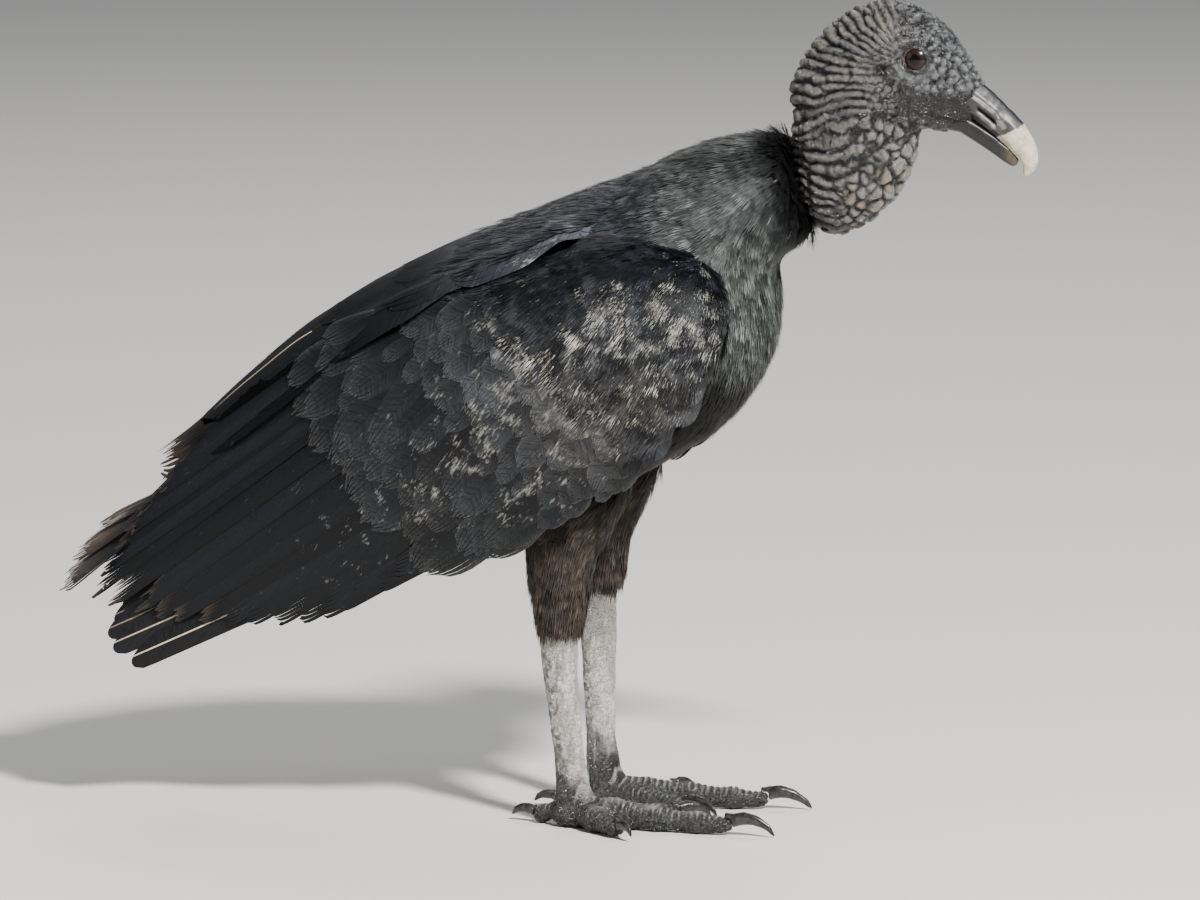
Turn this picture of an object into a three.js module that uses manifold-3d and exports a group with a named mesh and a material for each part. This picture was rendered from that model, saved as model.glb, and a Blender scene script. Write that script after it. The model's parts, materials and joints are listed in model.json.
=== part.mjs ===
// A life-size black vulture (Coragyps atratus), standing at rest with its wings folded.
// Millimetres. The bird faces +X, its left side is +Y, and up is +Z. Sizes below are in the bird's
// own frame: X = 0 a little ahead of the feet, Y = 0 the plane of symmetry, Z = 0 the floor.
// At the end the whole bird is shifted so that the origin is the bottom centre of its box.
import * as THREE from "three";
import { mergeVertices } from "three/addons/utils/BufferGeometryUtils.js";
import Module from "manifold-3d";

const wasm = await Module();
wasm.setup();

// ---------------------------------------------------------------- driving dimensions
const GAP = 0.3; // clearance between neighbouring solids
const SIDE_NAMES = { right: -1, left: 1 }; // the sign of Y on each side
const EYE = { x: 163.5, y: 12.3, z: 387.5, radius: 8.6 };

// Trunk in slices across X: [x, top z, bottom z, half width].
const TRUNK = [
  [90.5, 282, 246, 20],
  [82, 304, 224, 42],
  [67, 326, 203, 53],
  [45, 338, 187, 60],
  [10, 319, 168, 62],
  [-30, 302, 156, 60],
  [-75, 284, 152, 54],
  [-120, 258, 152, 42],
  [-155, 231, 156, 29],
  [-178, 209, 164, 16],
];

// Feathered base of the neck along its own line: [x, y, z, half height, half width].
const NECK_BASE = [
  [38, 0, 292, 40, 50],
  [66, 0, 309.5, 38, 41],
  [88, 0, 319.5, 32, 31],
  [104, 0, 324.5, 28.5, 25],
];

// Bare neck, from the fold over the ruff up into the head: [x, y, z, half depth, half width].
const NECK = [
  [113, 0, 300.5, 4, 4],
  [117, 0, 305.5, 13, 11],
  [120, 0, 313, 19.8, 17],
  [124.5, 0, 325.5, 26.8, 21.5],
  [128.5, 0, 340, 30.6, 23.5],
  [130.5, 0, 356, 31.5, 23.5],
  [133, 0, 372, 28, 21],
];

// Head in slices across X: [x, top z, bottom z, half width].
const HEAD = [
  [98.5, 374, 362, 6],
  [104, 385, 353, 13],
  [112, 396, 347, 17.5],
  [124, 407.5, 343, 20.8],
  [142, 415, 343, 22.2],
  [157, 413.6, 348, 21.8],
  [168, 408, 352, 19],
  [178, 400, 354, 15],
  [187, 388.5, 355, 11.3],
  [194, 376, 355.5, 9],
];

// Upper bill along its curve, cere to hook: [x, y, z, half depth, half width].
const BILL_UPPER = [
  [187.5, 0, 367.8, 9.5, 8.8],
  [196.9, 0, 361.2, 8.4, 8],
  [204.3, 0, 354.3, 7.6, 7],
  [211.6, 0, 347.4, 6.8, 6.2],
  [216.6, 0, 340.6, 5.4, 4.8],
  [217.9, 0, 334.2, 3.5, 3.2],
  [215.4, 0, 329.2, 1.3, 1.1],
];
const BILL_LOWER = [
  [173, 0, 359, 3.4, 7.6],
  [184, 0, 357.2, 3.4, 7.2],
  [192, 0, 352.3, 3.3, 6.3],
  [199.5, 0, 347.4, 3.2, 5.4],
  [207, 0, 341.8, 2.9, 4.3],
  [212, 0, 337.4, 1.5, 2.2],
];
const MOUTH_GAP = 0.4; // between the two halves of the bill

// Folded wing, outer face in slices across X, right side with Y outwards:
// [x, top edge z, y, widest z, y, lower edge z, y, thickness].
const WING = [
  [78.5, 268, 59, 263, 62, 256, 60, 6],
  [74.5, 281, 53, 264, 68, 243, 63, 9],
  [61, 292, 48, 260, 73, 217, 66, 10],
  [38, 298, 46, 253, 76.5, 188, 67, 10],
  [12, 300, 45, 245, 78, 169, 65, 10],
  [-17, 294, 47, 232, 77, 154, 62, 9],
  [-63, 280, 47, 213, 73, 131, 56, 8],
  [-112, 259, 44, 190, 64, 109, 47, 6],
  [-153, 235, 40, 170, 55, 103, 42, 5],
  [-203, 196, 33, 147, 45, 104, 39, 4],
  [-224, 166, 31, 134, 41, 104, 37, 3.5],
  [-243, 138, 31, 120, 37, 102, 34, 3],
  [-255, 112, 31, 107, 33, 101, 31, 2.5],
];
// The wing is parted along the tips of its greater coverts: z = COVERT_LINE[0] + COVERT_LINE[1] * x.
const COVERT_LINE = [145, -0.258];

// Scapulars and tertials, a roof from the middle of the back over the top edge of the wing:
// [x, ridge z, half width, drop from ridge to outer edge, thickness].
const ROOF = [
  [22, 325, 16, 8, 2],
  [4, 319, 36, 18, 4],
  [-30, 305.5, 49, 22, 5],
  [-72, 290, 52, 24, 5],
  [-112, 270, 49, 23, 5],
  [-150, 245.5, 43, 21, 4.5],
  [-185, 215.5, 37, 18, 4],
  [-208, 193, 31, 15, 3.5],
  [-225, 180, 24, 10, 3],
  [-236.5, 170, 14, 5, 2.5],
];

// Long feathers of the hand, right side: tip x, tip z, and distance from the middle.
const PRIMARY_TIPS = [
  [-239, 80, 34.4],
  [-244.5, 88, 33.2],
  [-243, 96, 32],
  [-240, 104, 30.8],
];
const PRIMARY = { rootX: -70, rise: 0.466, width: 21, thickness: 2.6 };

const TAIL = {
  root: [-150, 199],
  tip: [-274, 124.5],
  rootHalf: 17,
  tipHalf: 46,
  drop: 6, // how much lower the outermost feather lies
  roll: 8, // degrees, the right edge held lower than the left
  thickness: 2.4,
  feathers: 12,
};

// Feathered leg from the body down to the ankle: [x, y, z, half depth, half width].
const THIGH = [
  [2, -34, 200, 28, 12],
  [-3, -35, 178, 30, 21.5],
  [-8, -34.5, 158, 25.5, 20],
  [-11.5, -33, 141, 21, 17],
  [-13, -32, 122, 18, 14],
  [-13.5, -31.5, 104, 14.5, 11.5],
  [-13.8, -31, 90, 12, 10],
];
// Bare shank from inside the leg feathers down to the sole.
const SHANK = [
  [-14, -31, 97, 9.5, 7.5],
  [-14.5, -31, 88, 11, 8],
  [-13, -30.8, 76, 9.4, 7.2],
  [-10.8, -30.5, 55, 8.7, 6.8],
  [-8.5, -30.2, 34, 8.3, 6.7],
  [-7, -30, 20, 9.5, 8.4],
  [-6, -30, 10, 12, 10],
  [-6, -30, 2, 11.5, 9.5],
  [-6, -30, -1.5, 9, 8],
];
// How far each ankle and foot stand ahead of the rows above.
const AHEAD = { right: { ankle: 0, foot: 0 }, left: { ankle: 6, foot: 2 } };
const ANKLE_Z = 90;
const FOOT = { x: -5, y: 30 }; // the joint the toes spring from

// Toes: angle out from straight ahead in degrees, length to the base of the claw,
// radii at root, middle and end, claw length, and height of the root above the floor.
const TOES = {
  hallux: { angle: 196, length: 24, radii: [5.2, 5, 4.6], claw: 14, lift: 6 },
  inner: { angle: -24, length: 52, radii: [7, 6, 5.3], claw: 18, lift: 0 },
  middle: { angle: 6, length: 82, radii: [8, 6.4, 5.7], claw: 23, lift: 0 },
  outer: { angle: 47, length: 42, radii: [7.2, 6, 5.2], claw: 13, lift: 0 },
};
const TOE_START = 6; // from the joint to the root of every toe

// ---------------------------------------------------------------- materials
const paint = (color, roughness) =>
  new THREE.MeshStandardMaterial({ color, roughness, metalness: 0 });
const MATERIALS = {
  skin: paint(0x66625d, 0.7),
  plumage: paint(0x1d1e20, 0.7),
  vane: paint(0x16171a, 0.55),
  shank: paint(0xb9b4aa, 0.85),
  foot: paint(0x35353a, 0.7),
  claw: paint(0x2b2a2c, 0.35),
  bill: paint(0x4c4a4a, 0.45),
  eye: paint(0x2e1512, 0.08),
};

// ---------------------------------------------------------------- geometry helpers
// A point on the smooth curve through rows of numbers, t from 0 to 1 over all the rows.
function along(rows, t) {
  const place = t * (rows.length - 1);
  const i = Math.min(Math.floor(place), rows.length - 2);
  const f = place - i;
  const row = (k) => rows[Math.max(0, Math.min(rows.length - 1, k))];
  return row(i).map((_, c) => {
    const [p0, p1, p2, p3] = [row(i - 1)[c], row(i)[c], row(i + 1)[c], row(i + 2)[c]];
    const bend = 2 * p0 - 5 * p1 + 4 * p2 - p3 + (3 * p1 - p0 - 3 * p2 + p3) * f;
    return p1 + 0.5 * f * (p2 - p0 + f * bend);
  });
}

const spaced = (rows, count) =>
  Array.from({ length: count }, (_, i) => along(rows, i / (count - 1)));

function toSolid(geometry) {
  const bare = geometry.clone();
  bare.deleteAttribute("normal");
  bare.deleteAttribute("uv");
  const merged = mergeVertices(bare, 1e-3);
  return new wasm.Manifold(
    new wasm.Mesh({
      numProp: 3,
      vertProperties: new Float32Array(merged.attributes.position.array),
      triVerts: new Uint32Array(merged.index.array),
    }),
  );
}

function toGeometry(solid) {
  const mesh = solid.getMesh();
  const geometry = new THREE.BufferGeometry();
  geometry.setAttribute("position", new THREE.BufferAttribute(mesh.vertProperties, 3));
  geometry.setIndex(new THREE.BufferAttribute(mesh.triVerts, 1));
  return geometry;
}

// A closed solid through rings of points, each ring with the same count, capped at both ends.
function loft(rings) {
  const n = rings[0].length;
  const points = rings.flat();
  const triangles = [];
  const quad = (a, b, c, d) => triangles.push(a, b, c, a, c, d);
  for (let r = 0; r < rings.length - 1; r++)
    for (let i = 0; i < n; i++) {
      const j = (i + 1) % n;
      quad(r * n + i, r * n + j, (r + 1) * n + j, (r + 1) * n + i);
    }
  for (const [ring, first] of [[rings[0], 0], [rings[rings.length - 1], (rings.length - 1) * n]]) {
    const centre = ring.reduce((sum, p) => sum.add(p), new THREE.Vector3()).divideScalar(n);
    const c = points.push(centre) - 1;
    for (let i = 0; i < n; i++) {
      const j = (i + 1) % n;
      if (first === 0) triangles.push(c, j, i);
      else triangles.push(c, first + i, first + j);
    }
  }
  const volume = triangles.reduce((sum, _, k) => {
    if (k % 3) return sum;
    const [a, b, c] = [points[triangles[k]], points[triangles[k + 1]], points[triangles[k + 2]]];
    return sum + a.dot(b.clone().cross(c));
  }, 0);
  if (volume < 0)
    for (let k = 0; k < triangles.length; k += 3)
      [triangles[k + 1], triangles[k + 2]] = [triangles[k + 2], triangles[k + 1]];
  const geometry = new THREE.BufferGeometry().setFromPoints(points);
  geometry.setIndex(triangles);
  return toSolid(geometry);
}

const power = (value, exponent) => Math.sign(value) * Math.abs(value) ** exponent;

// A ring of points round a centre; square above 1 fills out the corners.
function ring(centre, up, across, high, wide, sides, square = 1) {
  return Array.from({ length: sides }, (_, i) => {
    const a = (2 * Math.PI * i) / sides;
    return centre
      .clone()
      .addScaledVector(up, high * power(Math.cos(a), 1 / square))
      .addScaledVector(across, wide * power(Math.sin(a), 1 / square));
  });
}

// Rows of [x, top, bottom, half width] as a solid; grow makes it larger all round.
function slices(rows, count, { grow = 0, sides = 18, square = 1.1 } = {}) {
  const up = new THREE.Vector3(0, 0, 1);
  const across = new THREE.Vector3(0, 1, 0);
  const rings = spaced(rows, count).map(([x, top, bottom, half], i) => {
    const end = i === 0 ? 1 : i === count - 1 ? -1 : 0;
    const nose = Math.sign(rows[0][0] - rows[rows.length - 1][0]) * end * grow;
    const centre = new THREE.Vector3(x + nose, 0, (top + bottom) / 2);
    return ring(centre, up, across, (top - bottom) / 2 + grow, half + grow, sides, square);
  });
  return loft(rings);
}

// Rows of [x, y, z, half depth, half width] as a solid along its own line. across is the
// direction of the half width; heading, if given, is square to every section.
function limb(rows, count, options = {}) {
  const { grow = 0, sides = 14, across = [0, 1, 0], heading } = options;
  const stations = spaced(rows, count);
  const place = (row) => new THREE.Vector3(...row);
  const side = new THREE.Vector3(...across).normalize();
  const rings = stations.map((row, i) => {
    const before = place(stations[Math.max(0, i - 1)]);
    const after = place(stations[Math.min(count - 1, i + 1)]);
    const forward = heading ? new THREE.Vector3(...heading) : after.sub(before).normalize();
    const end = i === 0 ? -grow : i === count - 1 ? grow : 0;
    const up = new THREE.Vector3().crossVectors(side, forward).normalize();
    const wide = new THREE.Vector3().crossVectors(forward, up).normalize();
    const centre = place(row).addScaledVector(forward, end);
    return ring(centre, up, wide, row[3] + grow, row[4] + grow, sides);
  });
  return loft(rings);
}

// The largest piece of a solid that a cut may have left in several.
const largest = (solid) =>
  solid.decompose().reduce((best, piece) => (piece.volume() > best.volume() ? piece : best));

// ---------------------------------------------------------------- body
const trunkShape = (grow) => slices(TRUNK, 13, { grow, sides: 20 });
const neckBaseShape = (grow) => limb(NECK_BASE, 5, { grow, sides: 18 });
const neckShape = (grow) => limb(NECK, 9, { grow, sides: 16 });
const headShape = (grow) => slices(HEAD, 12, { grow, sides: 16, square: 1 });
const billUpperShape = (grow) => limb(BILL_UPPER, 10, { grow, sides: 12 });
const billLowerShape = (grow) => limb(BILL_LOWER, 6, { grow, sides: 10 });
const eyeShape = (sign, grow) => {
  const ball = new THREE.SphereGeometry(EYE.radius + grow, 10, 8);
  ball.translate(EYE.x, sign * EYE.y, EYE.z);
  return toSolid(ball);
};

function bodyParts() {
  const neck = neckShape(0).subtract(headShape(GAP));
  const trunk = trunkShape(0);
  let base = neckBaseShape(0).subtract(neckShape(GAP)).subtract(trunkShape(GAP));
  base = base.subtract(headShape(GAP));
  let head = headShape(0).subtract(billUpperShape(GAP));
  head = head.subtract(billLowerShape(GAP));
  for (const sign of Object.values(SIDE_NAMES)) head = head.subtract(eyeShape(sign, GAP));
  const lower = billLowerShape(0).subtract(billUpperShape(MOUTH_GAP));
  return [
    ["head", largest(head), MATERIALS.skin],
    ["neck", largest(neck), MATERIALS.skin],
    ["neck_base", largest(base), MATERIALS.plumage],
    ["trunk", trunk, MATERIALS.plumage],
    ["bill_upper", billUpperShape(0), MATERIALS.bill],
    ["bill_lower", largest(lower), MATERIALS.bill],
  ];
}

// ---------------------------------------------------------------- wings
const ARC_STEPS = 4; // facets from the wing's top edge to its widest point
const FALL_STEPS = 4; // and from there to its lower edge

// Points down the outer face of the folded wing, moved inwards by depth.
function wingProfile([x, topZ, topY, midZ, midY, lowZ, lowY], depth) {
  const points = [];
  for (let i = 0; i <= ARC_STEPS; i++) {
    const a = (i / ARC_STEPS) * (Math.PI / 2);
    const y = topY + (midY - topY) * Math.sin(a) - depth * Math.sin(a);
    const z = midZ + (topZ - midZ) * Math.cos(a) - depth * Math.cos(a);
    points.push([x, y, z]);
  }
  for (let i = 1; i <= FALL_STEPS; i++) {
    const t = i / FALL_STEPS;
    points.push([x, midY + (lowY - midY) * t * t - depth, midZ + (lowZ - midZ) * t]);
  }
  return points;
}

function wingShape(sign, grow = 0) {
  const rings = spaced(WING, 16).map((row) => {
    const outer = wingProfile(row, -grow);
    const inner = wingProfile(row, row[7] + grow).reverse();
    return [...outer, ...inner].map(([x, y, z]) => new THREE.Vector3(x, sign * y, z));
  });
  return loft(rings);
}

function roofShape(sign, grow = 0) {
  const steps = 5;
  const rings = spaced(ROOF, 11).map(([x, ridge, half, drop, thick]) => {
    const face = (lift) =>
      Array.from({ length: steps + 1 }, (_, i) => {
        const t = i / steps;
        const y = Math.max(GAP / 2, half * t) + (t === 1 ? grow : 0);
        return new THREE.Vector3(x, sign * y, ridge - drop * t * t + lift);
      });
    return [...face(grow), ...face(-thick - grow).reverse()];
  });
  return loft(rings);
}

// A flat long feather from root to tip, lying in the plane of its own length and "wide".
function plume(root, tip, wide, { width, thickness }) {
  const steps = 4;
  const length = new THREE.Vector3().subVectors(tip, root);
  const normal = new THREE.Vector3().crossVectors(length, wide).normalize();
  const rings = Array.from({ length: steps + 1 }, (_, i) => {
    const t = Math.sin((i / steps) * (Math.PI / 2)) ** 0.8;
    const round = t > 0.88 ? Math.sqrt(Math.max(0.1, 1 - ((t - 0.88) / 0.12) ** 2)) : 1;
    const half = (width / 2) * Math.min(1, 0.55 + t) * round;
    const centre = root.clone().addScaledVector(length, t);
    const corner = (across, through) =>
      centre
        .clone()
        .addScaledVector(wide, across * half)
        .addScaledVector(normal, through * thickness);
    return [
      corner(-1, 0.2),
      corner(0, 0.5),
      corner(1, 0.2),
      corner(1, -0.2),
      corner(0, -0.5),
      corner(-1, -0.2),
    ];
  });
  return loft(rings);
}

function primaryFan(sign) {
  const { rootX, rise, width, thickness } = PRIMARY;
  const wide = new THREE.Vector3(0.42, 0, 0.91);
  const plumes = PRIMARY_TIPS.map(([x, z, y]) => {
    const root = new THREE.Vector3(rootX, sign * (y + 4), z + rise * (rootX - x));
    const tip = new THREE.Vector3(x, sign * y, z);
    return plume(root, tip, wide, { width, thickness });
  });
  return plumes.reduce((whole, one) => whole.add(one));
}

// The tail as one roofed fan: each feather's edge lies a little over the next one's, and
// each ends in its own round tip.
function tailFan() {
  const { root, tip, rootHalf, tipHalf, drop, roll, thickness, feathers } = TAIL;
  const rows = 4;
  const edges = [0.08, 0.5, 0.92];
  const lean = Math.tan(THREE.MathUtils.degToRad(roll));
  const rings = Array.from({ length: rows + 1 }, (_, r) => {
    const face = (under) =>
      Array.from({ length: feathers * edges.length }, (_, k) => {
        const feather = Math.floor(k / edges.length);
        const across = edges[k % edges.length];
        const share = (2 * (feather + across)) / feathers - 1;
        const tipRound = Math.sqrt(1 - (1.6 * (across - 0.5)) ** 2);
        const reach = (r / rows) * (1 - 0.07 * share ** 2 + 0.05 * (tipRound - 1));
        const step = (share < 0 ? across : 1 - across) * 0.9;
        const y = share * (rootHalf + (tipHalf - rootHalf) * reach);
        const x = root[0] + (tip[0] - root[0]) * reach;
        const level = root[1] + (tip[1] - root[1]) * reach;
        const z = level - drop * share ** 2 * reach + y * lean * reach + step;
        return new THREE.Vector3(x, y, under ? z - thickness : z);
      });
    return [...face(false), ...face(true).reverse()];
  });
  return loft(rings);
}

function wingParts(sideName) {
  const sign = SIDE_NAMES[sideName];
  const body = trunkShape(GAP).add(neckBaseShape(GAP)).add(thighShape(sideName, GAP));
  const whole = wingShape(sign).subtract(body).subtract(roofShape(sign, GAP));
  const line = new THREE.Vector3(-COVERT_LINE[1], 0, 1).normalize();
  const offset = COVERT_LINE[0] * line.z;
  const coverts = whole.trimByPlane([line.x, 0, line.z], offset + GAP / 2);
  const secondaries = whole.trimByPlane([-line.x, 0, -line.z], -offset + GAP / 2);
  const primaries = primaryFan(sign).subtract(wingShape(sign, GAP)).subtract(body);
  const roof = roofShape(sign).subtract(trunkShape(GAP)).subtract(neckBaseShape(GAP));
  return [
    [`wing_${sideName}`, largest(coverts), MATERIALS.plumage],
    [`secondaries_${sideName}`, largest(secondaries), MATERIALS.vane],
    [`primaries_${sideName}`, largest(primaries), MATERIALS.vane],
    [`scapulars_${sideName}`, largest(roof), MATERIALS.vane],
  ];
}

function tailPart() {
  let tail = tailFan().subtract(trunkShape(GAP));
  for (const sign of Object.values(SIDE_NAMES))
    tail = tail.subtract(wingShape(sign, GAP)).subtract(roofShape(sign, GAP));
  return ["tail", largest(tail), MATERIALS.vane];
}

// ---------------------------------------------------------------- legs
// A row of the right leg moved to either leg; the ankle and the foot may stand further ahead.
function legRow(sideName, [x, y, z, ...radii]) {
  const { ankle, foot } = AHEAD[sideName];
  const share = Math.exp(-(((z - ANKLE_Z) / 45) ** 2));
  const below = Math.max(0, 1 - z / ANKLE_Z);
  return [x + ankle * share + foot * below * (1 - share), -y * SIDE_NAMES[sideName], z, ...radii];
}
const legRows = (sideName, rows) => rows.map((row) => legRow(sideName, row));
const thighShape = (sideName, grow) =>
  limb(legRows(sideName, THIGH), 7, { grow, sides: 12 });
const shankShape = (sideName, grow) =>
  limb(legRows(sideName, SHANK), 9, { grow, sides: 10 });

// Rows along a toe or a claw: [reach from the joint, z, half depth, half width].
function footRows(sideName, angle, rows) {
  const sign = SIDE_NAMES[sideName];
  const turn = THREE.MathUtils.degToRad(angle) * sign;
  const heading = [Math.cos(turn), Math.sin(turn)];
  const joint = [FOOT.x + AHEAD[sideName].foot, sign * FOOT.y];
  const placed = rows.map(([reach, z, high, wide]) => [
    joint[0] + heading[0] * reach,
    joint[1] + heading[1] * reach,
    z,
    high,
    wide,
  ]);
  return { placed, heading: [...heading, 0], across: [-heading[1], heading[0], 0] };
}

function toeShape(sideName, { angle, length, radii, lift }, grow = 0) {
  const [root, middle, end] = radii;
  const rows = [
    [0, root + 0.5 + lift, root],
    [0.3, root - 0.9 + lift * 0.6, root],
    [0.62, middle - 0.6 + lift * 0.2, middle],
    [0.88, end - 0.7, end],
    [1, end - 0.1, end * 0.72],
  ].map(([t, z, radius]) => [TOE_START + (length - TOE_START) * t, z, radius, radius * 0.92]);
  const { placed, heading, across } = footRows(sideName, angle, rows);
  return limb(placed, 6, { grow, sides: 8, across, heading });
}

function clawShape(sideName, { angle, length, radii, claw }) {
  const base = radii[2] * 0.6;
  const rows = [0, 0.25, 0.5, 0.75, 1].map((t) => {
    const reach = length - 4 + (claw + 3) * Math.sin((t * Math.PI) / 2.2);
    const z = 1.2 + (radii[2] * 1.35 - 1.2) * Math.cos((t * Math.PI) / 2) ** 0.8;
    const radius = base * (1 - t) ** 0.75 + 0.35;
    return [reach, z, radius, radius * 0.72];
  });
  const { placed, across } = footRows(sideName, angle, rows);
  return limb(placed, 5, { sides: 6, across });
}

const FLOOR = [0, 0, 1];

function legParts(sideName) {
  const thigh = thighShape(sideName).subtract(trunkShape(GAP));
  const shank = shankShape(sideName).subtract(thighShape(sideName, GAP));
  const parts = [
    [`thigh_${sideName}`, largest(thigh), MATERIALS.plumage],
    [`shank_${sideName}`, largest(shank.trimByPlane(FLOOR, 0)), MATERIALS.shank],
  ];
  const placed = [shankShape(sideName, GAP)];
  for (const [toeName, toe] of Object.entries(TOES)) {
    const rough = placed.reduce((left, other) => left.subtract(other), toeShape(sideName, toe));
    const claw = clawShape(sideName, toe).subtract(toeShape(sideName, toe, GAP));
    placed.push(toeShape(sideName, toe, GAP));
    parts.push(
      [`toe_${toeName}_${sideName}`, largest(rough.trimByPlane(FLOOR, 0)), MATERIALS.foot],
      [`claw_${toeName}_${sideName}`, largest(claw.trimByPlane(FLOOR, 0.2)), MATERIALS.claw],
    );
  }
  return parts;
}

// ---------------------------------------------------------------- the whole bird
const parts = [...bodyParts(), tailPart()];
for (const sideName of Object.keys(SIDE_NAMES)) {
  parts.push(...wingParts(sideName), ...legParts(sideName));
  parts.push([`eye_${sideName}`, eyeShape(SIDE_NAMES[sideName], 0), MATERIALS.eye]);
}

const vulture = new THREE.Group();
for (const [name, solid, material] of parts) {
  const mesh = new THREE.Mesh(toGeometry(solid), material);
  mesh.name = name;
  vulture.add(mesh);
}
const box = new THREE.Box3().setFromObject(vulture);
const middle = box.getCenter(new THREE.Vector3());
vulture.position.set(-middle.x, -middle.y, -box.min.z);

export default vulture;
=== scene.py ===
import bpy
import bmesh
import json
import math
import numpy as np
from mathutils import Matrix, Vector
from mathutils.bvhtree import BVHTree

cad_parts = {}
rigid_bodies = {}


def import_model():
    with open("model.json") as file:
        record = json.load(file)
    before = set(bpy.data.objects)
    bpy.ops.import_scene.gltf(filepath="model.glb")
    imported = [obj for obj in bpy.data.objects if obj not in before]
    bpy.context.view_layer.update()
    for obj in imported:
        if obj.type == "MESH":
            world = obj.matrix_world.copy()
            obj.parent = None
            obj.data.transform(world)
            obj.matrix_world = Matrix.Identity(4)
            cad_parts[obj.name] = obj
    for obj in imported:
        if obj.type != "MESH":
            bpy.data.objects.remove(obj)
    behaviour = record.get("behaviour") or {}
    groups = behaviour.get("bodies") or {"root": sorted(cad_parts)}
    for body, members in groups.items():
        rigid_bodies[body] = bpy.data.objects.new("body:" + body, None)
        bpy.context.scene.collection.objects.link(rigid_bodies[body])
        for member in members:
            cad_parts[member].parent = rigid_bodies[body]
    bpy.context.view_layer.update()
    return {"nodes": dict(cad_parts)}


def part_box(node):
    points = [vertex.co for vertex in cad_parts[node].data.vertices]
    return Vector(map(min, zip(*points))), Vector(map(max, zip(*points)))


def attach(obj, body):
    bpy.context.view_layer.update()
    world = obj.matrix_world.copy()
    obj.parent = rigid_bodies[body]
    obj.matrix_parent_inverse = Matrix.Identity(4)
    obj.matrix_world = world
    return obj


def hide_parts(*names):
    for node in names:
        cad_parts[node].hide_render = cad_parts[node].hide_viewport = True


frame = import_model()

# ---------------------------------------------------------------------------------------
# Bare skin of the head and neck: thick, loose hide with no feathers, in rounded folds behind
# the ear and at the throat, with beads between eye and bill, and one with the body's hide.
# Places are in millimetres from the point between the ankles; "offset" carries them over.
low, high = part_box("eye_right")
eye_x, eye_y, eye_z, eye_radius = 163.5, 12.3, 387.5, 8.6
offset = np.array([(low.x + high.x) * 500 - eye_x, 0.0, 0.0])
sides = {"right": -1, "left": 1}


def smooth(start, end, value):
    """0 up to the start and 1 from the end on, with a soft rise between."""
    t = np.clip((value - start) / (end - start), 0, 1)
    return t * t * (3 - 2 * t)


def bump(value, width):
    """1 at zero, falling off to both sides over the width."""
    return np.exp(-((value / width) ** 2))


def patch_mask(x, z, x0, x1, z0, z1, soft):
    """1 inside a box seen from the side, 0 outside, with a soft edge."""
    inside = smooth(x0 - soft, x0 + soft, x) * (1 - smooth(x1 - soft, x1 + soft, x))
    return inside * smooth(z0 - soft, z0 + soft, z) * (1 - smooth(z1 - soft, z1 + soft, z))


def scramble(ix, iy, iz, seed):
    """A number from 0 to 1 for each cell of a grid, with no pattern in it."""
    h = (ix * 73856093) ^ (iy * 19349663) ^ (iz * 83492791) ^ (seed * 40503)
    h = (h ^ (h >> 13)) * 1274126177 & 0xFFFFFFFF
    h = (h ^ (h >> 15)) * 2246822519 & 0xFFFFFFFF
    return ((h ^ (h >> 16)) & 0xFFFF) / 65535.0


def noise(p, seed=1):
    """Soft ups and downs from -1 to 1, about one for each unit."""
    base = np.floor(p).astype(np.int64)
    f = p - base
    f = f * f * (3 - 2 * f)
    total = 0
    for corner in range(8):
        c = np.array([corner & 1, corner >> 1 & 1, corner >> 2 & 1])
        w = np.prod(np.where(c, f, 1 - f), axis=1)
        total = total + w * scramble(*(base + c).T, seed)
    return 2 * total - 1


def cells(p, seed=1, loose=(1, 1, 1)):
    """Distance to the nearest cell's middle and to the next one's, and that cell's number."""
    base = np.floor(p).astype(np.int64)
    first = np.full(len(p), 9.0)
    second = np.full(len(p), 9.0)
    number = np.zeros(len(p))
    for dx in (-1, 0, 1):
        for dy in (-1, 0, 1):
            for dz in (-1, 0, 1):
                c = base + (dx, dy, dz)
                at = c + 0.5
                for k in range(3):
                    at[:, k] = at[:, k] + loose[k] * (scramble(*c.T, seed + k) - 0.5)
                d = np.sqrt(((at - p) ** 2).sum(1))
                near = d < first
                second = np.where(near, first, np.minimum(second, d))
                number = np.where(near, scramble(*c.T, seed + 7), number)
                first = np.where(near, d, first)
    return first, second, number


def cushion(turns, power):
    """Broad round tops with a narrow crease at every whole turn."""
    return 1 - np.abs(2 * (turns - np.floor(turns)) - 1) ** power


def tone(r, g, b):
    """A colour as it is read off a chart, 0 to 255, in linear light."""
    c = np.array([r, g, b]) / 255.0
    return np.where(c > 0.04045, ((c + 0.055) / 1.055) ** 2.4, c / 12.92)


def blend_tone(a, b, share):
    """From a to b by a share for each point."""
    share = np.asarray(share)[..., None]
    return a * (1 - share) + b * share


def new_mesh(name, verts, faces):
    mesh = bpy.data.meshes.new(name)
    mesh.from_pydata((np.asarray(verts) + offset) / 1000, [], [tuple(f) for f in faces])
    mesh.update()
    return mesh


def points_of(mesh):
    co = np.empty(len(mesh.vertices) * 3, np.float32)
    mesh.vertices.foreach_get("co", co)
    return co.reshape(-1, 3).astype(float) * 1000 - offset


def normals_of(mesh):
    co = np.empty(len(mesh.vertices) * 3, np.float32)
    mesh.vertex_normals.foreach_get("vector", co)
    return co.reshape(-1, 3).astype(float)


def move_points(mesh, places):
    mesh.vertices.foreach_set("co", ((places + offset) / 1000).ravel())
    mesh.update()


def plain_mesh(obj):
    """The object's mesh with its modifiers worked in; the object itself goes."""
    bpy.context.view_layer.update()
    seen = obj.evaluated_get(bpy.context.evaluated_depsgraph_get())
    mesh = bpy.data.meshes.new_from_object(seen)
    bpy.data.objects.remove(obj)
    return mesh


def set_out(name, data):
    """The mesh, light or camera as an object in the scene."""
    obj = bpy.data.objects.new(name, data)
    bpy.context.scene.collection.objects.link(obj)
    return obj


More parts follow.
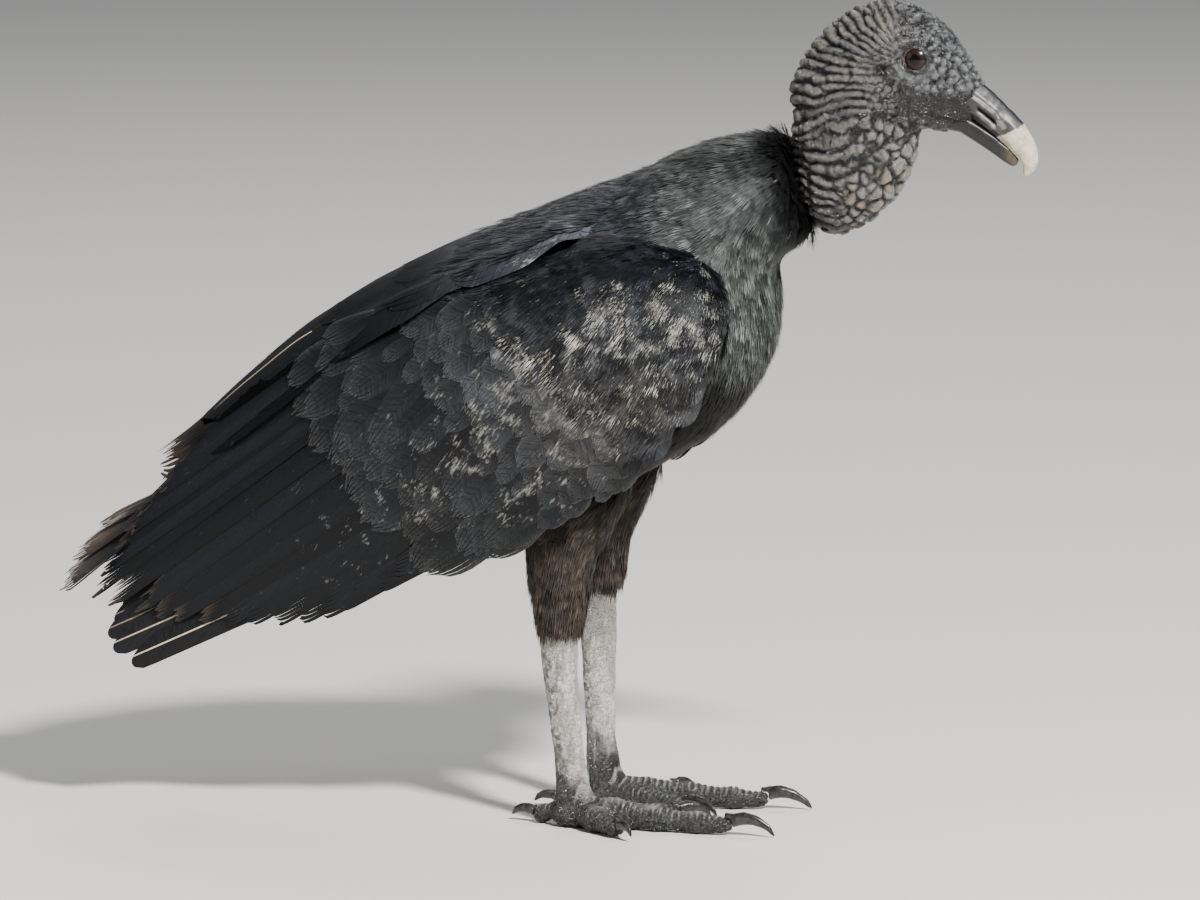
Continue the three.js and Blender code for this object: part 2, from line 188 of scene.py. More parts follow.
def hide_from(nodes, voxel, grow, rounds, levels):
    """One closed mesh over several solids: joined by voxels, evened out, then refined."""
    form = bmesh.new()
    for node in nodes:
        form.from_mesh(frame["nodes"][node].data)
    bmesh.ops.remove_doubles(form, verts=form.verts, dist=1e-5)
    bmesh.ops.recalc_face_normals(form, faces=form.faces)
    form.normal_update()
    for v in form.verts:
        v.co += v.normal * grow / 1000
    mesh = bpy.data.meshes.new("form")
    form.to_mesh(mesh)
    form.free()
    obj = set_out("form", mesh)
    join = obj.modifiers.new("join", "REMESH")
    join.mode = "VOXEL"
    join.voxel_size = voxel / 1000
    even = obj.modifiers.new("even", "SMOOTH")
    even.factor = 0.5
    even.iterations = rounds
    if levels:
        fine = obj.modifiers.new("fine", "SUBSURF")
        fine.levels = levels
        fine.render_levels = levels
    return plain_mesh(obj)


fold_pitch = 5.7
ear_x, ear_z, ear_radius = 146.3, 381.5, 5.2
eye_ring = 11.2


def head_relief(p):
    """Height of the folds and beads over the plain form, and the paint of each point."""
    x, y, z = p.T
    away = np.abs(y)
    soft = noise(p / 13, 3)
    fine = noise(p / 4.5, 5)

    # Folds fan out from the ear over the nape and crown, then run level round the neck.
    fan = 381 + 60 * np.arctan2(z - 379, 170 - x)
    lean = np.interp(z, [310, 322, 335, 349, 360, 370, 381], [-0.3, -0.25, 0, 0.3, 0.22, 0.1, 0])
    level = z - lean * (x - 118)
    course = level + (fan - level) * smooth(376, 388, z)
    course = course + 1.6 * noise(p / 8, 15) + 0.9 * noise(p / 24, 17)
    fold = cushion(course / fold_pitch + 0.5 * soft + 0.2 * fine, 2.4)
    runs = np.stack([x / 18, y / 18, course / fold_pitch + 0.5 * soft], 1)
    near, next_, _ = cells(runs, 11, (1, 1, 0.3))
    breaks = 1 - smooth(0.0, 0.16, next_ - near)
    fold = np.clip(fold - 0.45 * breaks, 0, 1)
    nape = 1 - smooth(140, 150, x + 0.35 * (375 - z) * (z < 375))
    crown = smooth(378, 392, z) * (1 - smooth(147, 157, x + 2.5 * soft))
    folded = np.maximum(nape * (z > 300), crown)

    # The throat and front of the neck: round cells, larger low down.
    bent = p + np.stack([2.2 * soft, 2.2 * noise(p / 11, 8), 2.2 * noise(p / 12, 9)], 1)
    near, next_, who = cells(bent / 6.2, 21)
    small_cells = smooth(0.0, 0.42, next_ - near) ** 0.7 * (1.08 - 0.5 * near)
    near, next_, _ = cells(bent / 8.2 + 3.3, 31)
    large_cells = smooth(0.0, 0.34, next_ - near) ** 0.7 * (1.1 - 0.45 * near)
    lumps = smooth(136, 150, x + 0.25 * (330 - z)) * (1 - smooth(338, 352, z))
    throat_cells = small_cells + (large_cells - small_cells) * lumps
    throat = (
        smooth(124, 138, x + 2 * soft + 0.3 * np.clip(325 - z, 0, 20))
        * (1 - smooth(352, 364, z + 3 * soft))
        * (1 - smooth(163, 171, x + soft))
    )

    # Fine grain from the ear to the jaw, plain bristly cheek, beads from eye to bill.
    near, next_, _ = cells(p / 3.6, 41)
    grains = smooth(0.0, 0.4, next_ - near)
    jowl = patch_mask(x, z, 143, 156, 352, 378, 3.5)
    near, next_, _ = cells(p / 4.4, 51)
    beads = smooth(0.0, 0.45, next_ - near) * (1.25 - near)
    radius = np.hypot(x - eye_x, z - eye_z)
    angle = np.arctan2(z - eye_z, x - eye_x)
    lores = patch_mask(x, z, 168, 194, 370, 391, 3) * smooth(10, 13, radius)
    ring_beads = cushion(angle * 2.9 + 0.2 * fine, 2.5) * bump(radius - eye_ring, 1.9)
    ring_beads *= 1 - smooth(-0.3, 0.25, np.sin(angle))
    near, next_, _ = cells(bent / (3.2, 3.2, 2.7), 61)
    pebbles = smooth(0.0, 0.5, next_ - near) * (0.6 + 0.5 * noise(p / 6, 63))
    wrinkle = noise(p / 1.9, 65)
    brow = smooth(386, 392, z + 0.1 * (x - 160)) * smooth(150, 160, x)
    cheek = patch_mask(x, z, 153, 196, 340, 371, 3) * (1 - throat)
    temple = patch_mask(x, z, 147, 156, 372, 392, 3)

    # A smooth strap of skin runs from the corner of the eye round the beads to the bill.
    strap_x = [171.0, 174.0, 178.5, 183.5, 190.0]
    strap_z = [382.5, 377.5, 373.0, 370.2, 368.4]
    strap = bump(z - np.interp(x, strap_x, strap_z), 1.3)
    strap = strap * patch_mask(x, z, 171, 191, 366, 384, 1.2)

    relief = (
        (2.3 + 0.6 * noise(p / 8, 13)) * (fold - 0.65) * folded * (1 - throat)
        * smooth(9, 17, np.hypot(x - 147, z - 381))
        + 2.6 * (throat_cells - 0.6) * throat
        + 0.75 * (grains - 0.5) * jowl * (1 - throat)
        + 1.9 * (beads - 0.4) * lores * (1 - 0.8 * strap)
        + 1.4 * (ring_beads - 0.2) * bump(radius - eye_ring, 3.2) * (1 - lores)
        + (pebbles - 0.4) * brow * (1 - crown) * smooth(9, 12, radius)
        + 0.9 * (cushion((x - 140.6) / 3.1 + 0.2 * fine, 2.5) - 0.5)
        * patch_mask(x, z, 137.5, 144, 363, 379, 2)
        + 0.55 * (cushion((x + 0.2 * z) / 3.4 + 0.4 * soft, 2.5) - 0.5) * temple
        + 1.1 * strap
        + 0.35 * soft
        + 0.45 * wrinkle
        - 0.45 * (1 - smooth(0.0, 0.2, np.abs(noise(p / (6, 6, 2.6), 69)))) * folded
        + 0.5 * noise(p / (5, 5, 3), 67) * cheek
    )
    from_ear = np.hypot(x - ear_x, z - ear_z)
    ear = bump(from_ear, 3.1) * smooth(10, 16, away)
    relief = relief - 3.4 * ear + 0.8 * bump(from_ear - ear_radius, 1.3)
    gape = bump(z - np.interp(x, [160, 172, 184, 194], [360.5, 358.5, 355.8, 351.8]), 0.9)
    relief = relief - 0.8 * gape * smooth(160, 168, x)

    # Paint: grey on the tops, near black in the creases as painted shade, tan here and there low
    # down.
    high_ground = np.clip(
        fold * folded * (1 - throat)
        + throat_cells * throat
        + grains * jowl * (1 - throat)
        + (0.3 + 0.8 * beads) * lores
        + (0.35 + 0.5 * pebbles) * (1 - np.clip(folded + throat + jowl + lores, 0, 1))
        + 0.10 * wrinkle,
        0, 1,
    )
    grey = blend_tone(tone(76, 75, 73), tone(112, 109, 104), 0.5 + 0.5 * soft)
    # Lighter, cooler grey towards the face: partly the skin's own grey, partly a painted highlight.
    grey = blend_tone(grey, tone(106, 107, 108), smooth(150, 165, x))
    grey = blend_tone(grey, tone(128, 125, 120), 0.7 * throat)
    colour = blend_tone(tone(13, 12, 12), grey, smooth(0.2, 0.95, high_ground + 0.25 * wrinkle))
    colour = blend_tone(colour, tone(19, 18, 17), 0.92 * cheek)
    tan = (who > 0.72) * throat * smooth(345, 325, z) + (fine > 0.35) * throat * smooth(335, 312, z)
    colour = blend_tone(colour, tone(140, 120, 96), 0.6 * np.clip(tan, 0, 1) * high_ground)
    brown = smooth(0.15, 0.5, noise(p / 7, 77)) * folded * smooth(340, 380, z)
    colour = blend_tone(colour, tone(128, 114, 97), 0.3 * brown * fold)
    # Painted shade: the ear hole and the crease of the gape near black.
    colour = blend_tone(colour, tone(20, 18, 17), np.clip(1.3 * ear + 0.6 * gape, 0, 1))
    lid = bump(radius - 6.6, 1.1) * (away > 10)
    colour = blend_tone(colour, tone(44, 42, 42), 0.7 * lid)
    under_eye = bump(radius - 9.0, 1.0) * (z < eye_z - 2)
    return relief, blend_tone(colour, tone(120, 122, 122), 0.5 * under_eye)


head_mesh = hide_from(
    ["head", "neck", "eye_right", "eye_left"], voxel=1.75, grow=0.75, rounds=5, levels=1
)
head_points = points_of(head_mesh)
near_eye = np.hypot(head_points[:, 0] - eye_x, head_points[:, 2] - eye_z)
# Forward of the eye the face narrows and sinks on to the root of the bill.
fore = smooth(176, 193, head_points[:, 0])
head_points[:, 1] *= 1 - 0.30 * fore
head_points[:, 2] -= 3.2 * fore * smooth(372, 386, head_points[:, 2])
# The skin of the chin hangs down over the root of the lower bill.
chin = smooth(164, 176, head_points[:, 0]) * (1 - smooth(354, 368, head_points[:, 2]))
head_points[:, 2] -= 3.4 * chin
# The lids: points close to an eye are drawn on to its rim, then laid over or under the ball.
beside = np.abs(head_points[:, 1]) > 9
rim = 5.35
pull = (rim - near_eye) * bump(near_eye - rim, 0.85) * beside
stretch = 1 + pull / np.maximum(near_eye, 0.5)
head_points[:, 0] = eye_x + (head_points[:, 0] - eye_x) * stretch
head_points[:, 2] = eye_z + (head_points[:, 2] - eye_z) * stretch
head_relief_mm, head_paint = head_relief(head_points)
open_eye = 1 - smooth(7.0, 9.5, near_eye)
head_relief_mm = head_relief_mm * (1 - open_eye * beside)
move_points(head_mesh, head_points)
head_points = head_points + normals_of(head_mesh) * head_relief_mm[:, None]
r = np.hypot(head_points[:, 0] - eye_x, head_points[:, 2] - eye_z)
shell = np.interp(r, [0, 5.0, 5.35, 5.9, 6.8, 7.8, 9.0], [8.0, 8.0, 8.65, 9.35, 9.55, 9.2, 9.2])
ball = eye_y + np.sqrt(np.maximum(shell**2 - r**2, 0.1))
lay = (1 - smooth(7.2, 9.2, r)) * beside
head_points[:, 1] += np.sign(head_points[:, 1]) * lay * (ball - np.abs(head_points[:, 1]))
move_points(head_mesh, head_points)

# ---------------------------------------------------------------------------------------
# Hide of the body, the folded wings and the thighs: plain dark skin under the feathers,
# as deep below the feather tips as the coat is thick.
body_mesh = hide_from(
    ["trunk", "neck_base"]
    + [part + side for side in sides for part in ("wing_", "thigh_")],
    voxel=4.3, grow=0.3, rounds=8, levels=0,
)
body_points = points_of(body_mesh)
body_normals = normals_of(body_mesh)


def on_wing(p):
    """1 where a point lies out on the folded wing, 0 on the trunk."""
    trunk_half = np.interp(p[:, 2], [100, 150, 260, 300], [40, 52, 56, 44])
    return smooth(-10, 4, np.abs(p[:, 1]) - trunk_half)


# Moving x, y or z here moves the points.
x, y, z = body_points.T
depth = 2.8 + (0.3 + 2 * smooth(-90, -120, x)) * on_wing(body_points)
inner_side = (np.sign(y) * body_normals[:, 1] < 0) & (on_wing(body_points) > 0.3)
body_points -= body_normals * (depth * np.where(inner_side, 0.1, 1))[:, None]
# The long feathers of the shoulder hang clear of the wing's top, with a dark slit between.
slit_top = np.interp(x, [-120, -95, -60, -17, 0, 20], [400, 262, 271, 283, 287, 400])
over_wing = (np.abs(y) > 34) & (np.abs(y) < 62)
z[over_wing] = np.minimum(z, slit_top)[over_wing]
# The far wrist sits back behind the breast.
x[y > 44] = np.minimum(x, 71)[y > 44]
# Each thigh draws in at its lower end, inside the top of the bare shank.
for side, thigh_end in (("right", 99), ("left", 112)):
    leg = (y * sides[side] > 8) & (np.abs(x + 12) < 46) & (z < thigh_end + 8)
    middle = body_points[leg & (z < thigh_end), :2].mean(0)
    drawn = 0.4 + 0.6 * smooth(thigh_end - 4, thigh_end + 7, body_points[leg, 2:])
    body_points[leg, :2] = middle + (body_points[leg, :2] - middle) * drawn
move_points(body_mesh, body_points)


def plumage_tone(p):
    """The feathers' colour at a place: blue-black, greyer on the mantle with dust and a painted
    sheen, browner below.
    """
    x, _, z = p.T
    streak = noise(p / (5.0, 2.4, 2.4), 91)
    broad = noise(p / 16, 93)
    colour = blend_tone(tone(23, 24, 27), tone(33, 34, 36), 0.5 + 0.5 * broad)
    # The mantle is greyer: dust, and a painted sheen.
    mantle = smooth(15, 45, x) * smooth(182, 216, z + 0.3 * (x - 60))
    streaked = np.clip(0.45 + 0.55 * streak + 0.15 * broad, 0, 1)
    colour = blend_tone(colour, tone(79, 83, 80), mantle * streaked)
    shoulder = bump(np.hypot((x - 28) / 26, (z - 296) / 12), 1.0)
    colour = blend_tone(colour, tone(54, 58, 60), 0.6 * shoulder)
    ruff = smooth(84, 98, x + 0.3 * (z - 325)) * smooth(285, 300, z)
    colour = blend_tone(colour, tone(18, 18, 19), ruff)
    # Painted sheen: blue-grey and streaked, on the front of the shoulder's long feathers.
    fore_roof = smooth(-95, -10, x) * (1 - smooth(15, 45, x)) * smooth(240, 262, z)
    streaked = np.clip(0.5 + 0.5 * streak, 0, 1)
    colour = blend_tone(colour, tone(68, 70, 75), 0.8 * fore_roof * streaked)
    side_of_breast = smooth(52, 74, x) * (1 - smooth(283, 305, z)) * (1 - smooth(100, 112, x))
    streaked = np.clip(0.6 + 0.4 * streak, 0, 1)
    colour = blend_tone(colour, tone(106, 109, 106), 0.75 * side_of_breast * streaked)
    breast = 1 - smooth(204, 244, z + 0.9 * np.clip(x - 98, -30, 20) + 8 * broad + 5 * streak)
    colour = blend_tone(colour, tone(9, 8, 8), 0.95 * breast)
    leg = (1 - smooth(150, 190, z)) * (np.abs(x + 12) < 45)
    brown = blend_tone(tone(24, 21, 19), tone(76, 67, 59), 0.5 + 0.5 * streak)
    return blend_tone(colour, brown, leg)


# ---------------------------------------------------------------------------------------
# Bare shanks and toes: hard scaly skin, whitish with dried droppings down to the ankle
# joint, and dark grey on the toes, which carry a row of broad scales along the top.
ankle_x, ankle_y = -5.0, 30.0
# Each toe's turn outwards from straight ahead, in degrees, and its length to the claw.
toe_runs = {"hallux": (196, 24), "inner": (-24, 52), "middle": (6, 82), "outer": (47, 42)}


def leg_relief(p, side):
    """Height of the scales over the plain form, and the paint of each point."""
    x, y, z = p.T
    sign = sides[side]
    best = np.full(len(p), 1e9)
    along = np.zeros(len(p))
    for turn, length in toe_runs.values():
        a = math.radians(turn * sign)
        ux, uy = math.cos(a), math.sin(a)
        dx = x - (ankle_x + (2 if sign > 0 else 0))
        dy = y - sign * ankle_y
        t = dx * ux + dy * uy
        on_toe = np.clip(t, 6, length + 14)
        off = np.hypot(dx - on_toe * ux, dy - on_toe * uy)
        closer = off < best
        best = np.where(closer, off, best)
        along = np.where(closer, t, along)
    foot = 1 - smooth(14, 24, z)
    fine = noise(p / 3, 15)
    scale_turn = along / 3.2 + 0.12 * fine
    scute = cushion(scale_turn, 4.0)
    knuckle = bump(np.abs((along - 20) % 22 - 11) - 11, 4.5) * (along > 12)
    top = smooth(4, 9, z - 2) * (1 - smooth(4.0, 6.5, best))
    near, next_, _ = cells(p / 2.5, 71)
    grain = smooth(0, 0.4, next_ - near)
    near, next_, _ = cells(p / (2.6, 2.6, 3.4), 81)
    plates = smooth(0, 0.3, next_ - near)
    relief = foot * (
        top * 1.5 * (scute - 0.7) + (1 - top) * 0.8 * (grain - 0.5) + 1.1 * (knuckle - 0.45)
    )
    relief += (1 - foot) * 0.32 * (plates - 0.5) + 0.25 * noise(p / 8, 17)
    clean = np.clip(0.55 + 0.6 * noise(p / (4, 4, 9), 19), 0, 1)
    pale = blend_tone(tone(170, 165, 157), tone(228, 224, 215), clean)
    pale = blend_tone(tone(116, 111, 104), pale, 0.6 + 0.4 * plates)
    raised = np.maximum(grain * (1 - top), scute * top)
    dark = blend_tone(tone(15, 15, 16), tone(60, 60, 61), (0.3 + 0.5 * (0.5 + 0.5 * fine)) * raised)
    edge = bump(scale_turn % 1 - 0.12, 0.13)
    dark = blend_tone(dark, tone(160, 158, 153), 0.85 * edge * top)
    specks = 0.5 * bump(grain - 0.35, 0.25) * (1 - top) * smooth(3, 8, z)
    dark = blend_tone(dark, tone(120, 118, 113), specks)
    # The white ends in patches, on the right at the ankle and on the left a little above.
    patchy = noise(p / 6, 23)
    if side == "right":
        share = smooth(14, 28, z + 0.8 * np.clip(x, -20, 4) + 7 * patchy)
    else:
        share = smooth(26, 46, z + 8 * patchy)
    colour = blend_tone(dark, pale, share)
    knob = smooth(80, 104, z)
    colour = blend_tone(colour, tone(92, 86, 78), 0.6 * knob)
    # Dark scales show through the white along the back and the two edges of the shank.
    rear = smooth(2, -10, x + 0.12 * z) * 0.9 + 0.25
    flecks = smooth(-0.05, 0.3, noise(p / (1.7, 1.7, 2.4), 25) + 0.3 * noise(p / 9, 27)) * share
    colour = blend_tone(colour, tone(58, 55, 51), np.clip(rear, 0, 1) * 0.8 * flecks)
    return relief, colour


leg_meshes, leg_paint = [], []
for side in sides:
    nodes = ["shank_" + side] + ["toe_%s_%s" % (toe, side) for toe in toe_runs]
    mesh = hide_from(nodes, voxel=1.75, grow=-0.35, rounds=4, levels=1)
    places = points_of(mesh)
    places[:, 2] += 27 * smooth(76, 91, places[:, 2])
    move_points(mesh, places)
    relief, paint = leg_relief(places, side)
    move_points(mesh, places + normals_of(mesh) * relief[:, None])
    leg_meshes.append(mesh)
    leg_paint.append(paint)


def joined_mesh(name, parts):
    """The parts laid together as one mesh, each with its paint."""
    whole = bmesh.new()
    for part in parts:
        whole.from_mesh(part)
    mesh = bpy.data.meshes.new(name)
    whole.to_mesh(mesh)
    whole.free()
    return mesh


def mark_points(mesh, name, kind, values):
    """Keeps a value for each point under a name that a material or a tree reads."""
    layer = mesh.attributes.new(name, kind, "POINT")
    field = {"FLOAT_VECTOR": "vector", "FLOAT_COLOR": "color"}.get(kind, "value")
    number = np.int32 if kind == "INT" else np.float32
    layer.data.foreach_set(field, np.asarray(values).astype(number).ravel())


def paint_points(mesh, name, colours):
    """Keeps a colour for each point."""
    rgba = np.ones((len(mesh.vertices), 4), np.float32)
    rgba[:, :3] = colours
    mark_points(mesh, name, "FLOAT_COLOR", rgba)


skin_mesh = joined_mesh("skin", [head_mesh, body_mesh] + leg_meshes)
body_paint = 0.6 * plumage_tone(points_of(body_mesh))
paint_points(skin_mesh, "paint", np.concatenate([head_paint, body_paint] + leg_paint))
bare = np.ones(len(skin_mesh.vertices))
bare[len(head_paint):][:len(body_paint)] = 0
mark_points(skin_mesh, "bare", "FLOAT", bare)
skin_mesh.shade_smooth()
skin = set_out("skin", skin_mesh)


def node_maker(tree, family=""):
    """Makes nodes in a tree. A value that is another node's output is linked, others are set."""

    def feed(socket, value):
        if isinstance(value, bpy.types.NodeSocket):
            tree.links.new(value, socket)
        else:
            socket.default_value = value

    def node(kind, *feeds, **values):
        made = tree.nodes.new(family + kind)
        for key, value in values.items():
            if key[0].isupper():
                feed(made.inputs[key.replace("_", " ")], value)
            else:
                setattr(made, key, value)
        for socket, value in zip(made.inputs, feeds):
            feed(socket, value)
        return made

    return node, feed


def new_material(name):
    """A material, the maker of its nodes, and a call that sets or links the shader's inputs."""
    material = bpy.data.materials.new(name)
    material.use_nodes = True
    node, feed = node_maker(material.node_tree, "ShaderNode")
    shader = material.node_tree.nodes["Principled BSDF"]

    def finish(**values):
        for key, value in values.items():
            feed(shader.inputs[key.replace("_", " ")], value)

    return material, node, finish


def grain_of(node, place, scale, detail, rough, reads, gives):
    """A cloudy grain, and how far it darkens or lightens the paint."""
    grain = node("TexNoise", Vector=place, Scale=scale, Detail=detail, Roughness=rough)
    speck = node("MapRange", grain.outputs["Fac"], *reads, *gives)
    return grain.outputs["Fac"], speck.outputs["Result"]


def hide_material():
    """Painted hide with fine wrinkles. Bare skin is greasy, that between the roots is dull."""
    material, node, finish = new_material("bare hide")
    place = node("TexCoord").outputs["Object"]
    grain, speck = grain_of(
        node, place, scale=620.0, detail=5.0, rough=0.7, reads=(0.34, 0.68), gives=(0.55, 1.35)
    )
    paint = node("Attribute", attribute_name="paint").outputs["Color"]
    mixed = node("VectorMath", paint, operation="SCALE", Scale=speck)
    wrinkle = node("TexVoronoi", feature="DISTANCE_TO_EDGE", Vector=place, Scale=900.0)
    crease = node("MapRange", wrinkle.outputs["Distance"], 0.0, 0.18, 0.0, 1.0)
    height = node("Math", grain, 0.8, crease.outputs["Result"], operation="MULTIPLY_ADD")
    relief = node("Bump", Strength=0.8, Distance=0.0006, Height=height.outputs[0])
    bare = node("Attribute", attribute_name="bare").outputs["Fac"]
    finish(
        Base_Color=mixed.outputs[0],
        Normal=relief.outputs["Normal"],
        Roughness=node("MapRange", bare, To_Min=0.85, To_Max=0.28).outputs["Result"],
        Specular_IOR_Level=node("MapRange", bare, To_Min=0.05, To_Max=0.65).outputs["Result"],
    )
    return material


skin_mesh.materials.append(hide_material())
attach(skin, "root")
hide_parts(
    "head", "neck", "neck_base", "trunk",
    *[part + side for side in sides for part in ("wing_", "thigh_", "shank_")],
    *["toe_%s_%s" % (toe, side) for side in sides for toe in toe_runs],
)

# ---------------------------------------------------------------------------------------
# The eyes: wet balls with a dark red-brown iris and a black pupil, under a clear cornea.
# They sit in the lids with about a third of the ball showing.


def ball_mesh(name, centre, size):
    """A plain ball, in fine steps."""
    form = bmesh.new()
    bmesh.ops.create_uvsphere(form, u_segments=48, v_segments=32, radius=size)
    verts = np.array([v.co for v in form.verts])
    faces = [[v.index for v in f.verts] for f in form.faces]
    form.free()
    return new_mesh(name, verts + centre, faces)


def eye_material(sign):
    """Rings of colour round the pupil, under a clear wet coat."""
    material, node, finish = new_material("eye")
    centre = (np.array([eye_x, sign * eye_y, eye_z]) + offset) / 1000
    place = node("TexCoord").outputs["Object"]
    apart = node("VectorMath", place, centre, operation="SUBTRACT")
    flat = node("VectorMath", apart.outputs[0], (1000, 0, 1000), operation="MULTIPLY")
    size = node("VectorMath", flat.outputs[0], operation="LENGTH")
    part = node("Math", size.outputs["Value"], 6.3, operation="DIVIDE")
    ramp = node("ValToRGB", part.outputs[0])
    steps = ramp.color_ramp.elements
    steps[0].color = (*tone(6, 5, 5), 1)
    steps[1].color = (*tone(10, 8, 8), 1)
    for at, colour in (
        (0.38, tone(4, 3, 3)), (0.46, tone(27, 15, 13)), (0.66, tone(40, 22, 19)),
        (0.80, tone(26, 15, 13)), (0.86, tone(6, 5, 5)),
    ):
        steps.new(at).color = (*colour, 1)
    finish(
        Base_Color=ramp.outputs["Color"], Roughness=0.28, Specular_IOR_Level=0.1,
        Coat_Weight=0.55, Coat_IOR=1.38, Coat_Roughness=0.03,
    )
    return material


for side, sign in sides.items():
    mesh = ball_mesh("eye_ball_" + side, (eye_x, sign * eye_y, eye_z), eye_radius)
    mesh.shade_smooth()
    mesh.materials.append(eye_material(sign))
    eye = set_out("eye_ball_" + side, mesh)
    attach(eye, "root")
    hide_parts("eye_" + side)

# ---------------------------------------------------------------------------------------
# The bill: horn over bone. The grey cere is ridged, with a long slit for a nostril; the
# ridge of the upper half is blue-black, and its hooked end is worn ivory.


def bill_paint(p):
    """Tones of the upper half: cere, ridge and hook, with the face's skin over its root."""
    x, y, z = p.T
    away = np.abs(y)
    wave = noise(p / 2.6, 33)
    ridge = 1 - smooth(1.5, 4.2, away)
    cere = blend_tone(tone(70, 69, 68), tone(30, 32, 38), np.clip(ridge + 0.3 * wave, 0, 1))
    shaded = smooth(3.6, 5.6, away)
    cere = blend_tone(cere, tone(44, 41, 38), 0.7 * shaded)
    flecks = bump(wave - 0.5, 0.35) * (1 - ridge) * smooth(190, 200, x)
    cere = blend_tone(cere, tone(128, 126, 122), 0.6 * flecks)
    horn = blend_tone(tone(176, 164, 140), tone(214, 204, 184), 0.5 + 0.5 * wave)
    horn = blend_tone(horn, tone(186, 164, 128), 0.7 * (1 - smooth(326, 338, z)))
    border = 0.42 * (x - 203.4) - 0.9 * (z - 349.6) + 0.9 * wave + 0.5 * noise(p / 1.1, 35)
    cere = blend_tone(cere, tone(40, 39, 39), 0.8 * (1 - smooth(185, 194, x + 0.6 * wave)))
    return blend_tone(cere, horn, smooth(-0.4, 0.5, border) * (x > 199))


def bill_relief(p):
    """Ridges of the cere, the nostril slit and the swelling of the hook."""
    x, y, z = p.T
    away = np.abs(y)
    slit_z = np.interp(x, [190, 194, 199, 203], [364.2, 361.6, 357.6, 354.0])
    slit = bump(z - slit_z, 1.0) * patch_mask(x, z, 192.5, 201.5, 340, 380, 0.9) * (away > 3)
    crest = bump(z - slit_z - 3.4, 1.3) + bump(z - slit_z + 3.2, 1.2)
    crest = crest * patch_mask(x, z, 184, 203, 340, 380, 3) * (away > 3)
    hook = smooth(205, 210, x) * (1 - smooth(214, 218, x))
    return 0.75 * crest - 2.3 * slit + 0.55 * hook + 0.12 * noise(p / 2.2, 37), slit


def bill_material():
    """Painted horn with a fine grain."""
    material, node, finish = new_material("bill horn")
    place = node("TexCoord").outputs["Object"]
    grain, speck = grain_of(
        node, place, scale=700.0, detail=3.0, rough=0.5, reads=(0.3, 0.7), gives=(0.85, 1.12)
    )
    paint = node("Attribute", attribute_name="paint").outputs["Color"]
    mixed = node("VectorMath", paint, operation="SCALE", Scale=speck)
    relief = node("Bump", Strength=0.3, Distance=0.0002, Height=grain)
    finish(Base_Color=mixed.outputs[0], Normal=relief.outputs["Normal"], Roughness=0.40)
    return material


bill_parts = [
    hide_from([half], voxel=0.8, grow=0.0, rounds=3, levels=1)
    for half in ("bill_upper", "bill_lower")
]
for part in bill_parts:
    places, ways = points_of(part), normals_of(part)
    if part == bill_parts[0]:
        relief, slit = bill_relief(places)
        # Painted shade: the nostril slit near black.
        colours = blend_tone(bill_paint(places), tone(16, 15, 15), slit)
        places += ways * relief[:, None]
    else:
        # The lower half is deep, and only its underside stands clear of the upper one.
        fore = places[:, 0]
        colours = blend_tone(tone(20, 19, 19), tone(74, 62, 46), smooth(202, 212, fore))
        places[:, 2] -= 4.0 * (1 - smooth(-0.6, 0.5, ways[:, 2])) * (1 - smooth(208, 214, fore))
    move_points(part, places)
    paint_points(part, "paint", colours)
bill_mesh = joined_mesh("bill", bill_parts)
bill_mesh.shade_smooth()
bill_mesh.materials.append(bill_material())
bill = set_out("bill", bill_mesh)
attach(bill, "root")
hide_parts("bill_upper", "bill_lower")

# ---------------------------------------------------------------------------------------
# The claws: short, blunt, dark horn, one on each toe, polished on top by wear.


def claw_material():
    """Dark horn, clouded with grey."""
    material, node, finish = new_material("claw horn")
    place = node("TexCoord").outputs["Object"]
    grain = node("TexNoise", Vector=place, Scale=350.0, Detail=4.0)
    ramp = node("ValToRGB", grain.outputs["Fac"])
    steps = ramp.color_ramp.elements
    steps[0].position, steps[0].color = 0.35, (*tone(20, 19, 20), 1)
    steps[1].position, steps[1].color = 0.75, (*tone(62, 60, 58), 1)
    finish(Base_Color=ramp.outputs["Color"], Roughness=0.27)
    return material


claw_nodes = ["claw_%s_%s" % (toe, side) for side in sides for toe in toe_runs]
claws_mesh = hide_from(claw_nodes, voxel=0.7, grow=0.5, rounds=2, levels=1)
claw_points = points_of(claws_mesh)
for sign in sides.values():
    for turn, length in toe_runs.values():
        # Each claw arches over its length and thins towards its point.
        a = math.radians(turn * sign)
        dx, dy = claw_points[:, 0] - ankle_x, claw_points[:, 1] - sign * ankle_y
        run = dx * math.cos(a) + dy * math.sin(a)
        off = dy * math.cos(a) - dx * math.sin(a)
        own = (np.abs(off) < 8) & (run > length - 4) & (claw_points[:, 1] * sign > 0)
        share = np.clip((run - length) / 21, 0, 1)
        claw_points[:, 2] += own * 2.4 * np.sin(math.pi * share) * (1 - 0.3 * share)
        thin = own * off * -0.3 * share
        claw_points[:, 0] -= thin * math.sin(a)
        claw_points[:, 1] += thin * math.cos(a)
move_points(claws_mesh, claw_points)
claws_mesh.shade_smooth()
claws_mesh.materials.append(claw_material())
claws = set_out("claws", claws_mesh)
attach(claws, "root")
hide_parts(*claw_nodes)

# ---------------------------------------------------------------------------------------
# Vanes: every feather of wing, back and tail is a stiff shaft with a flat web of barbs on
# both sides. They are laid root to tip along the form, each row over the roots of the next.
vane_rng = np.random.default_rng(7)


def combed(node, place, degrees, stretch, scale, detail, rough):
    """Noise drawn out into streaks that run down towards the tail."""
    comb = node(
        "Mapping", place, vector_type="TEXTURE",
        Rotation=(0, math.radians(-degrees), 0), Scale=(stretch, 1, 1),
    )
    streaks = node("TexNoise", Vector=comb.outputs[0], Scale=scale, Detail=detail, Roughness=rough)
    return streaks.outputs["Fac"]


def laid_over(node, under, colour, share):
    """One plain colour over what is there, by its share."""
    mix = node("Mix", data_type="RGBA", Factor=share, A=under, B=(*colour, 1))
    return mix.outputs["Result"]


